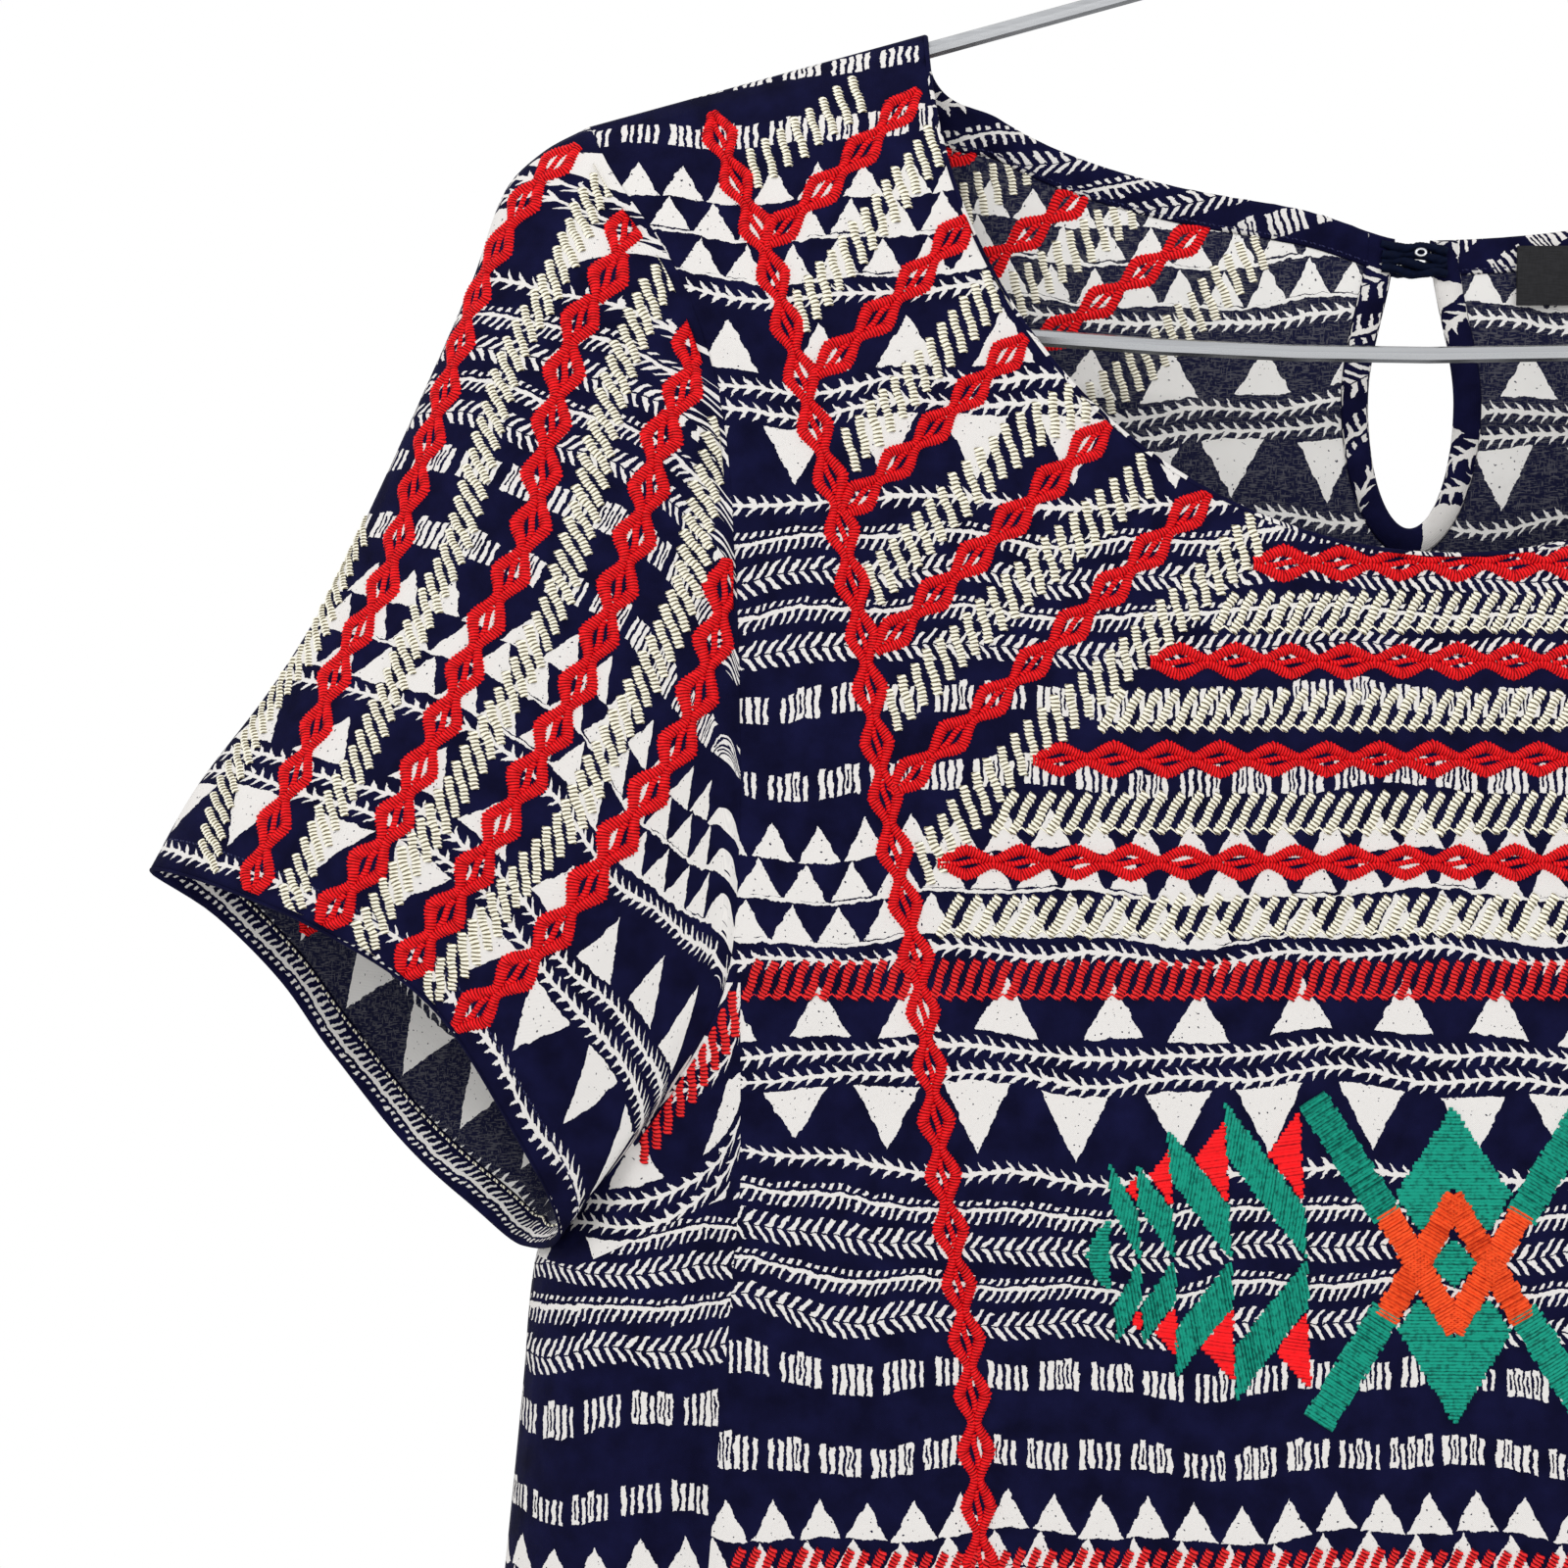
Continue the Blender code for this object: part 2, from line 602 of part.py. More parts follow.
def tube(name, points, radius, cyclic, resolution):
    """A round wire along the points, as a mesh with welded caps."""
    curve = bpy.data.curves.new(name, "CURVE")
    curve.dimensions = "3D"
    curve.bevel_depth = radius
    curve.bevel_resolution = resolution
    curve.use_fill_caps = not cyclic
    spline = curve.splines.new("POLY")
    spline.points.add(len(points) - 1)
    for target, p in zip(spline.points, points):
        target.co = (*p, 1.0)
    spline.use_cyclic_u = cyclic
    guide = bpy.data.objects.new(name + "_guide", curve)
    PARTS.objects.link(guide)
    bpy.context.view_layer.update()
    graph = bpy.context.evaluated_depsgraph_get()
    mesh = bpy.data.meshes.new_from_object(guide.evaluated_get(graph))
    bpy.data.objects.remove(guide)
    bm = bmesh.new()
    bm.from_mesh(mesh)
    bmesh.ops.remove_doubles(bm, verts=bm.verts[:], dist=1e-5)
    return bm


def arc(centre_x, centre_z, radius, start_deg, end_deg, steps):
    points = []
    for k in range(steps + 1):
        angle = math.radians(start_deg + (end_deg - start_deg) * k / steps)
        points.append(Vector((centre_x + radius * math.cos(angle), 0, centre_z + radius * math.sin(angle))))
    return points


def build_hanger():
    """One bent steel wire: a loop with sloping arms and a straight bar, and the hook on its apex."""
    centre_x = HANGER_HALF - HANGER_END_R
    centre_z = BAR_Z + HANGER_END_R
    lean = math.degrees(math.atan(ARM_SLOPE))
    right = arc(centre_x, centre_z, HANGER_END_R, 90 - lean, -90, END_STEPS)
    for k in range(1, BAR_STEPS):
        turn = math.pi / 2 * k / BAR_STEPS
        right.append(Vector((centre_x * (1 - k / BAR_STEPS), 0, BAR_Z - BAR_SAG * math.sin(turn))))
    left = [Vector((-p.x, p.y, p.z)) for p in reversed(right)]
    middle = [Vector((0, 0, BAR_Z - BAR_SAG))]
    loop = tube("hanger", [Vector((0, 0, APEX_Z))] + right + middle + left, WIRE_R, True, 2)
    frame = add_object("hanger", loop, STEEL, 0.25, 1.0)
    hook_arc = arc(0, HOOK_CENTRE_Z, HOOK_R, HOOK_NECK_DEG, HOOK_TIP_DEG, HOOK_STEPS)
    bend = Vector((HOOK_BEND_X, 0, NECK_TOP_Z + HOOK_BEND_RISE))
    neck = [Vector((0, 0, APEX_Z)), Vector((0, 0, NECK_TOP_Z)), bend]
    hook = add_object("hook", tube("hook", neck + hook_arc, WIRE_R, False, 2), STEEL, 0.25, 1.0)
    join(frame, hook)
    return frame


def join(obj, other):
    """Adds the other object to obj with a Boolean union, and removes it."""
    union = obj.modifiers.new("union", "BOOLEAN")
    union.operation = "UNION"
    union.object = other
    bpy.context.view_layer.update()
    graph = bpy.context.evaluated_depsgraph_get()
    mesh = bpy.data.meshes.new_from_object(obj.evaluated_get(graph))
    obj.modifiers.clear()
    obj.data = mesh
    bpy.data.objects.remove(other)


def build_closing():
    """A shank button on the right end of the binding, and the cloth loop from the left end round it."""
    button_x = KEYHOLE_TOP_HALF + BUTTON_FROM_EDGE
    z = BACK_NECK_Z - BINDING / 2
    face = body_y(button_x, z, BACK) + BINDING_WALL / 2 + SEAM
    shape = bmesh.new()
    turn = [(0.0, SHANK_R), (SHANK_LONG, SHANK_R), (SHANK_LONG, BUTTON_R - BUTTON_UNDERCUT),
            (SHANK_LONG + BUTTON_UNDERCUT, BUTTON_R), (SHANK_LONG + BUTTON_THICK - BUTTON_CROWN, BUTTON_R),
            (SHANK_LONG + BUTTON_THICK, BUTTON_R - BUTTON_CROWN_INSET)]
    rings = []
    for y, radius in turn:
        ring = []
        for k in range(BUTTON_SIDES):
            angle = 2 * math.pi * k / BUTTON_SIDES
            ring.append(shape.verts.new((button_x + radius * math.cos(angle), face + y,
                                         z + radius * math.sin(angle))))
        rings.append(ring)
    for lower, upper in zip(rings, rings[1:]):
        for k in range(BUTTON_SIDES):
            m = (k + 1) % BUTTON_SIDES
            shape.faces.new([lower[m], lower[k], upper[k], upper[m]])
    shape.faces.new(rings[0])
    shape.faces.new(rings[-1][::-1])
    bmesh.ops.recalc_face_normals(shape, faces=shape.faces[:])
    add_object("button", shape, NAVY, 0.4)
    bend = SHANK_R + SEAM + LOOP_R + LOOP_CLEAR
    root_x = -KEYHOLE_TOP_HALF - LOOP_ROOT_IN
    stand = face + LOOP_R + 2 * LOOP_CLEAR
    line = [Vector((root_x, stand, z + bend)), Vector((0, stand, z + bend))]
    for k in range(LOOP_STEPS + 1):
        angle = math.pi / 2 - math.pi * k / LOOP_STEPS
        line.append(Vector((button_x + bend * math.cos(angle), stand, z + bend * math.sin(angle))))
    line += [Vector((0, stand, z - bend)), Vector((root_x, stand, z - bend))]
    add_object("button_loop", tube("button_loop", line, LOOP_R, False, 1), NAVY)


for old in list(bpy.data.objects):
    bpy.data.objects.remove(old)
PARTS = bpy.data.collections.new("embroidered_dress")
bpy.context.scene.collection.children.link(PARTS)

build_panel("front", FRONT)
build_panel("back", BACK)
build_sleeve("sleeve_left", -1)
build_sleeve("sleeve_right", 1)
build_neck_binding()
build_keyhole_binding()
build_label()
build_closing()
build_hanger()
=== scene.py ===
"""The look of the embroidered shift dress on its hanger: printed cloth, embroidery, light and camera."""

import math
from collections import namedtuple
from functools import partialmethod

import bmesh
import bpy
import numpy as np
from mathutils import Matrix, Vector


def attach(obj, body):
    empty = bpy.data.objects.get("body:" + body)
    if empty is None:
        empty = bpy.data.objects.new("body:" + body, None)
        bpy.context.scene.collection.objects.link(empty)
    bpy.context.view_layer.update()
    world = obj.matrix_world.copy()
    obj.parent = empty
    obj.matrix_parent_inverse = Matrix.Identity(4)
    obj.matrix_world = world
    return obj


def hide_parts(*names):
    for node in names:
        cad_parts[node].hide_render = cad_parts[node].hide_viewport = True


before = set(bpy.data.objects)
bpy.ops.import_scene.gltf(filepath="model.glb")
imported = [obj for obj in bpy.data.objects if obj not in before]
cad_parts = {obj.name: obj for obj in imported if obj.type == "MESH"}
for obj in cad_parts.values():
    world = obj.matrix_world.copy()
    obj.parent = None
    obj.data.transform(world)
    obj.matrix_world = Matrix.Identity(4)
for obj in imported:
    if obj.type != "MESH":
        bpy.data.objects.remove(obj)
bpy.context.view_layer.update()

MM = 0.001
FRONT, BACK = -1, 1
CLOTH = 0.8 * MM

# The part's own sizes, as in its solids
WIRE_R = 2.1 * MM
APEX_Z = -86.5 * MM
ARM_SLOPE = 0.275
SHOULDER_OVER_ARM = WIRE_R + 1.7 * MM
SHOULDER_BEND_R = 3.4 * MM
SHOULDER_X = 210.0 * MM
NECK_HALF = 126.0 * MM
FRONT_NECK_Z = -249.5 * MM
BACK_NECK_Z = -165.5 * MM
NECK_RISE = 7.5 * MM
NECK_RISE_DIP = 20.0 * MM
NECK_RISE_END = 20.0 * MM
NECK_RISE_FROM_Z, NECK_RISE_FULL_Z = -235.0 * MM, -168.0 * MM
KEYHOLE_TOP_HALF = 5.0 * MM
KEYHOLE_HALF = 11.4 * MM
KEYHOLE_WIDEST_Z = -207.0 * MM
KEYHOLE_END_Z = -239.0 * MM
UNDERARM_X, UNDERARM_Z = 216.0 * MM, -409.0 * MM
HEM_Z = -998.0 * MM
SIDE_ROUND = 36.0 * MM
SLEEVE_BELLY = 5.0 * MM
NECK_SHARE = 0.66

Section = namedtuple("Section", "z half_width front_depth back_depth")
SECTIONS = [Section(*row) for row in (
    (-1.000, 0.2770, 0.046, 0.042), (-0.800, 0.2590, 0.043, 0.040), (-0.600, 0.2410, 0.038, 0.036),
    (-0.500, 0.2308, 0.035, 0.033), (-0.451, 0.2260, 0.033, 0.031), (-0.432, 0.2245, 0.032, 0.030),
    (-0.418, 0.2218, 0.032, 0.029), (-0.409, 0.2160, 0.032, 0.028), (-0.380, 0.2270, 0.031, 0.026),
    (-0.300, 0.2550, 0.029, 0.022), (-0.220, 0.2830, 0.027, 0.018), (-0.100, 0.3250, 0.024, 0.015),
)]
ArmholePoint = namedtuple("ArmholePoint", "x z")
ARMHOLE = [ArmholePoint(*row) for row in (
    (0.2037, -0.1540), (0.1873, -0.1800), (0.1770, -0.2110), (0.1733, -0.2480), (0.1720, -0.2860),
    (0.1725, -0.3280), (0.1760, -0.3550), (0.1880, -0.3770), (0.2020, -0.3960),
)]
Fold = namedtuple("Fold", "x_start x_hem half_width height start_z")
FRONT_FOLDS = [Fold(*row) for row in (
    (-0.118, -0.152, 0.030, 0.013, -0.36), (-0.050, -0.068, 0.034, 0.011, -0.42),
    (0.022, 0.030, 0.030, 0.014, -0.33), (0.092, 0.118, 0.036, 0.012, -0.38),
    (0.176, 0.214, 0.026, 0.008, -0.50), (-0.186, -0.222, 0.024, 0.009, -0.47),
)]
BACK_FOLDS = [Fold(*row) for row in (
    (-0.150, -0.186, 0.036, 0.012, -0.34), (-0.074, -0.098, 0.032, 0.014, -0.30),
    (0.006, 0.008, 0.036, 0.011, -0.38), (0.080, 0.104, 0.030, 0.015, -0.28),
    (0.146, 0.190, 0.034, 0.012, -0.36),
)]
DROP_FOLD_START = ArmholePoint(0.1735, -0.352)
DROP_FOLD_HEM_X = 0.205
DROP_FOLD_STEP = 5.0 * MM
DROP_FOLD_WIDTH = 9.0 * MM
HemPoint = namedtuple("HemPoint", "x y z")
SLEEVE_HEM = [HemPoint(*row) for row in (
    (0.3199, 0.0000, -0.3262), (0.3010, -0.0150, -0.3288), (0.2700, -0.0280, -0.3405),
    (0.2440, -0.0305, -0.3585), (0.2250, -0.0295, -0.3880), (0.2155, -0.0235, -0.4120),
    (0.2268, -0.0030, -0.4190), (0.2441, 0.0140, -0.4096), (0.2640, 0.0220, -0.3930),
    (0.2790, 0.0225, -0.3735), (0.2910, 0.0195, -0.3555), (0.3070, 0.0120, -0.3375),
)]
TopLine = namedtuple("TopLine", "s out")
SLEEVE_TOP = [TopLine(*row) for row in (
    (0.00, 0.0), (0.05, 0.0065), (0.11, 0.0098), (0.22, 0.0055), (0.36, 0.0018), (0.49, -0.0012),
    (0.62, -0.0036), (0.75, -0.0030), (0.89, 0.0004), (1.00, 0.0),
)]
HEM_SHARE = ([0.0, 0.045, 0.19, 0.36, 0.5], [0.0, 0.10, 0.27, 0.415, 0.5])
COLUMNS = [0.0, 0.06, 0.12, 0.18, 0.24, 0.30, 0.36, 0.42, 0.48, 0.54, 0.595, 0.635, 0.651, 0.6575,
           NECK_SHARE, 0.71, 0.76, 0.81, 0.86, 0.905, 0.942, 0.968, 0.987, 0.9965, 1.0]
TURN_ROWS = [0.970, 0.987, 0.995, 0.9988, 1.0]
COLUMN_STEP, ROW_STEP = 0.0125, 0.0068

# Soft creases that the solids leave out, on both halves: from, to, half width and height
Crease = namedtuple("Crease", "x0 z0 x1 z1 half_width height")
FRONT_CREASES = [Crease(*row) for row in (
    (0.203, -0.160, 0.158, -0.196, 0.0052, 0.0014), (0.194, -0.176, 0.152, -0.222, 0.0046, 0.0013),
    (0.184, -0.200, 0.150, -0.243, 0.0050, 0.0012), (0.178, -0.232, 0.146, -0.282, 0.0060, 0.0010),
    (0.174, -0.340, 0.128, -0.380, 0.0080, 0.0011), (0.060, -0.262, 0.030, -0.300, 0.0080, 0.0008),
)]
BACK_CREASES = [Crease(*row) for row in (
    (0.198, -0.165, 0.150, -0.215, 0.0060, 0.0013), (0.180, -0.215, 0.140, -0.270, 0.0070, 0.0011),
    (0.058, -0.170, 0.052, -0.230, 0.0070, 0.0010), (0.034, -0.167, 0.036, -0.215, 0.0050, 0.0010),
)]

# Small waves of the sleeves, which the solids leave out too
SLEEVE_FLUTE, SLEEVE_GATHER = 1.6 * MM, 1.0 * MM

# Camera, and the picture's pixels
CAMERA = (-0.1614, -0.589, -0.3046)
LENS, SENSOR = 54.0, 36.0
PICTURE = 1600
MIDDLE = PICTURE / 2
PIXEL = SENSOR / LENS / PICTURE


def smooth(t):
    t = np.clip(t, 0.0, 1.0)
    return t * t * (3.0 - 2.0 * t)


def hermite(p0, p1, p2, p3, x0, x1, x2, x3, x):
    span = x2 - x1
    m1 = (p2 - p0) / (x2 - x0) * span
    m2 = (p3 - p1) / (x3 - x1) * span
    t = (x - x1) / span
    return (
        (2 * t**3 - 3 * t**2 + 1) * p1
        + (t**3 - 2 * t**2 + t) * m1
        + (3 * t**2 - 2 * t**3) * p2
        + (t**3 - t**2) * m2
    )


def interpolate(xs, ps, x):
    x = min(max(x, xs[0]), xs[-1])
    k = max(i for i in range(len(xs) - 1) if xs[i] <= x)
    x0 = xs[k - 1] if k > 0 else 2 * xs[0] - xs[1]
    p0 = ps[k - 1] if k > 0 else 2 * ps[0] - ps[1]
    last = k + 2 >= len(xs)
    x3 = 2 * xs[-1] - xs[-2] if last else xs[k + 2]
    p3 = 2 * ps[-1] - ps[-2] if last else ps[k + 2]
    return hermite(p0, ps[k], ps[k + 1], p3, x0, xs[k], xs[k + 1], x3, x)


def table(xs, ps, count=900):
    """A fast smooth function through the points."""
    dense = np.linspace(xs[0], xs[-1], count)
    values = np.array([interpolate(xs, ps, x) for x in dense])
    return lambda x: np.interp(x, dense, values)


SECTION_Z = [s.z for s in SECTIONS]
HALF_WIDTH = table(SECTION_Z, [s.half_width for s in SECTIONS])
DEPTH = {
    FRONT: table(SECTION_Z, [s.front_depth for s in SECTIONS]),
    BACK: table(SECTION_Z, [s.back_depth for s in SECTIONS]),
}


def shoulder_z(x):
    return APEX_Z + SHOULDER_OVER_ARM - ARM_SLOPE * np.abs(x)


SHOULDER_POINT_Z = float(shoulder_z(SHOULDER_X))
ARMHOLE_X = table(
    [-SHOULDER_POINT_Z] + [-p.z for p in ARMHOLE] + [-UNDERARM_Z],
    [SHOULDER_X] + [p.x for p in ARMHOLE] + [UNDERARM_X],
)


def hill(away):
    """A fold's section: 1 at its middle and 0 from 1 outwards."""
    return np.where(away < 1, np.cos(np.minimum(away, 1) * math.pi / 2) ** 2, 0)


def folds(x, z, side):
    out = np.zeros(np.broadcast(x, z).shape)
    for f in FRONT_FOLDS if side == FRONT else BACK_FOLDS:
        down = np.maximum((f.start_z - z) / (f.start_z - HEM_Z), 0.0)
        across = np.abs(x - f.x_start - (f.x_hem - f.x_start) * down) / f.half_width
        out = out + f.height * smooth(down * 1.4) * hill(across)
    if side == FRONT:
        down = (DROP_FOLD_START.z - z) / (DROP_FOLD_START.z - HEM_Z)
        edge = DROP_FOLD_START.x + (DROP_FOLD_HEM_X - DROP_FOLD_START.x) * np.maximum(down, 0.0)
        out = out - DROP_FOLD_STEP * smooth(down * 12) * smooth((np.abs(x) - edge) / DROP_FOLD_WIDTH + 0.5)
    return out


def creases(x, z, side):
    """Soft ridges that run out at both ends."""
    out = np.zeros(np.broadcast(x, z).shape)
    for c in FRONT_CREASES if side == FRONT else BACK_CREASES:
        dx, dz = c.x1 - c.x0, c.z1 - c.z0
        along = ((np.abs(x) - c.x0) * dx + (z - c.z0) * dz) / (dx * dx + dz * dz)
        length = math.hypot(dx, dz)
        away = np.abs((np.abs(x) - c.x0) * dz - (z - c.z0) * dx) / length / c.half_width
        ends = smooth((along + 0.15) / 0.35) * smooth((1.15 - along) / 0.6)
        out = out + c.height * ends * hill(away)
    return out


def body_y(x, z, side):
    """The middle of the body's cloth at (x, z)."""
    x, z = np.asarray(x, float), np.asarray(z, float)
    below = np.maximum(shoulder_z(x) - z, 0.0)
    inward = np.maximum(HALF_WIDTH(z) - np.abs(x), 0.0)
    depth = DEPTH[side](z)
    over = np.sqrt(1 - np.exp(-below * 2 * SHOULDER_BEND_R / depth**2))
    around = np.sqrt(1 - (1 - np.minimum(inward / SIDE_ROUND, 1.0)) ** 2)
    y = depth * over * around + folds(x, z, side) * around + creases(x, z, side) * over * around
    return side * np.maximum(y, 0.00002)


def edge_x(z):
    return np.where(z <= UNDERARM_Z, HALF_WIDTH(z), ARMHOLE_X(-z))


def neck_rise(x, z, side):
    """How much higher the back hangs at (x, z), on the left of the closing alone."""
    if side == FRONT:
        return 0.0
    beside = 1 - np.exp(-((x / NECK_RISE_DIP) ** 2))
    before_end = smooth((NECK_HALF + x) / NECK_RISE_END)
    upward = smooth((z - NECK_RISE_FROM_Z) / (NECK_RISE_FULL_Z - NECK_RISE_FROM_Z))
    return np.where(x < 0, NECK_RISE * beside * before_end * upward, 0.0)


def neck_z(x, side, out=0.0):
    half = NECK_HALF + out
    low = (FRONT_NECK_Z if side == FRONT else BACK_NECK_Z) - out
    top = shoulder_z(half)
    z = top - (top - low) * np.sqrt(np.maximum(1 - (x / half) ** 2, 0.0))
    return z + neck_rise(x, z, side)


def keyhole_half(z, out=0.0):
    end = KEYHOLE_END_Z - out
    low = (KEYHOLE_HALF + out) * np.sqrt(
        np.maximum(1 - ((KEYHOLE_WIDEST_Z - z) / (KEYHOLE_WIDEST_Z - end)) ** 2, 0.0))
    up = (z - KEYHOLE_WIDEST_Z) / (BACK_NECK_Z - KEYHOLE_WIDEST_Z)
    high = KEYHOLE_HALF + out + (KEYHOLE_TOP_HALF - KEYHOLE_HALF) * smooth(up)
    return np.where(z < end, 0.0, np.where(z < KEYHOLE_WIDEST_Z, low, high))


def panel_points(a, v, side):
    """(x, z) of the half panel for columns a and rows v, as arrays of rows by columns."""
    a, v = a[None, :], v[:, None]
    share = np.clip(a / NECK_SHARE, 0, 1)
    neck_x = NECK_HALF * np.cos((1 - share) * math.pi / 2)
    past = (a - NECK_SHARE) / (1 - NECK_SHARE)
    top_x = np.where(a < NECK_SHARE, neck_x, NECK_HALF + (SHOULDER_X - NECK_HALF) * past)
    top_z = np.where(a < NECK_SHARE, neck_z(neck_x, side), shoulder_z(top_x))
    edge = edge_x(HEM_Z + v * (SHOULDER_POINT_Z - HEM_Z))
    upright = np.where(a > NECK_SHARE, NECK_HALF + (edge - NECK_HALF) * past, top_x)
    x = a * edge + (upright - a * edge) * smooth(v)
    z = HEM_Z + v * (top_z - HEM_Z)
    if side == BACK:
        x = x + keyhole_half(z) * np.maximum(1 - x / (5 * KEYHOLE_HALF), 0.0)
        z = np.where((v == 1.0) & (a < NECK_SHARE), neck_z(x, side), z)
    return x, z


def refine(values, step):
    """The same values with more between them, no further than step apart."""
    fine = []
    for a, b in zip(values, values[1:]):
        count = max(1, math.ceil((b - a) / step - 1e-9))
        fine += [a + (b - a) * k / count for k in range(count)]
    return np.array(fine + [values[-1]])


def lengths(points):
    """How far along a line each of its points lies."""
    return np.concatenate([[0], np.cumsum(np.linalg.norm(np.diff(points, axis=0), axis=1))])


def sample(at, along, points):
    """The line's points at the lengths at."""
    return np.stack([np.interp(at, along, column) for column in points.T], -1)


def unit(v):
    return v / np.maximum(np.linalg.norm(v, axis=-1, keepdims=True), 1e-12)


def to_pixels(points):
    d = points[..., 1] - CAMERA[1]
    px = MIDDLE + (points[..., 0] - CAMERA[0]) / d / PIXEL
    py = MIDDLE - (points[..., 2] - CAMERA[2]) / d / PIXEL
    return px, py


class Body:
    """The front or back of the body, by x and z."""

    step = 1e-4
    margin = 0.8 * MM

    def __init__(self, side):
        self.side = side

    def at(self, x, z):
        e = 0.2 * MM
        y = body_y(x, z, self.side)
        fx = (body_y(x + e, z, self.side) - body_y(x - e, z, self.side)) / (2 * e)
        fz = (body_y(x, z + e, self.side) - body_y(x, z - e, self.side)) / (2 * e)
        normal = unit(np.stack([fx, -np.ones_like(fx), fz], -1)) * -self.side
        return np.stack([x, y, z], -1), normal

    def clip(self, x, z):
        """Keeps stitches on the cloth, inside its neck, shoulder and armhole edges."""
        inside = np.abs(x) < NECK_HALF
        top = np.where(inside, neck_z(np.clip(x, -NECK_HALF, NECK_HALF), self.side), shoulder_z(x))
        z = np.minimum(z, top - self.margin)
        edge = edge_x(z) - self.margin
        return np.clip(x, -edge, edge), z

    def under(self, px, py):
        """The front's (x, z) at a pixel of the picture."""
        y = -0.025
        for _ in range(8):
            scale = (y - CAMERA[1]) * PIXEL
            x = CAMERA[0] + (px - MIDDLE) * scale
            z = CAMERA[2] + (MIDDLE - py) * scale
            y = float(body_y(x, z, FRONT))
        return x, z


class Inside:
    """The inner side of a surface. Stitches end below the facing at the neck."""

    def __init__(self, surface, margin=0.0):
        self.surface, self.margin, self.step = surface, margin, surface.step

    def at(self, p, q):
        points, normals = self.surface.at(p, q)
        return points, -normals

    def clip(self, p, q):
        p, q = self.surface.clip(p, q)
        if self.margin:
            low = neck_z(np.clip(p, -NECK_HALF - self.margin, NECK_HALF + self.margin), BACK, self.margin)
            q = np.minimum(q, low)
        return p, q


def armhole_ring(count):
    """Points round the armhole, once round from the shoulder down the front and up the back."""
    zs = SHOULDER_POINT_Z + (UNDERARM_Z - SHOULDER_POINT_Z) * np.linspace(0, 1, 1500) ** 1.5
    ring = []
    for side in (FRONT, BACK):
        xs = ARMHOLE_X(-zs)
        line = np.stack([xs, body_y(xs, zs, side), zs], -1)
        line[0, 1] = line[-1, 1] = 0.0
        along = lengths(line)
        along /= along[-1]
        shares = np.linspace(0, 1, count // 2 + 1)
        shares = shares + 0.012 * np.sin(2 * math.pi * shares)
        ring.append((shares, sample(shares, along, line)))
    ts = np.concatenate([ring[0][0] / 2, 1 - ring[1][0][-2:0:-1] / 2])
    points = np.concatenate([ring[0][1], ring[1][1][-2:0:-1]])
    return ts, points


def sleeve_hem_at(t):
    count = len(SLEEVE_HEM)
    out = []
    for value in np.atleast_1d(t):
        k = math.floor(value * count)
        p = [SLEEVE_HEM[(k + i) % count] for i in (-1, 0, 1, 2)]
        out.append([hermite(*[q[axis] for q in p], -1, 0, 1, 2, value * count - k) for axis in range(3)])
    return np.array(out)


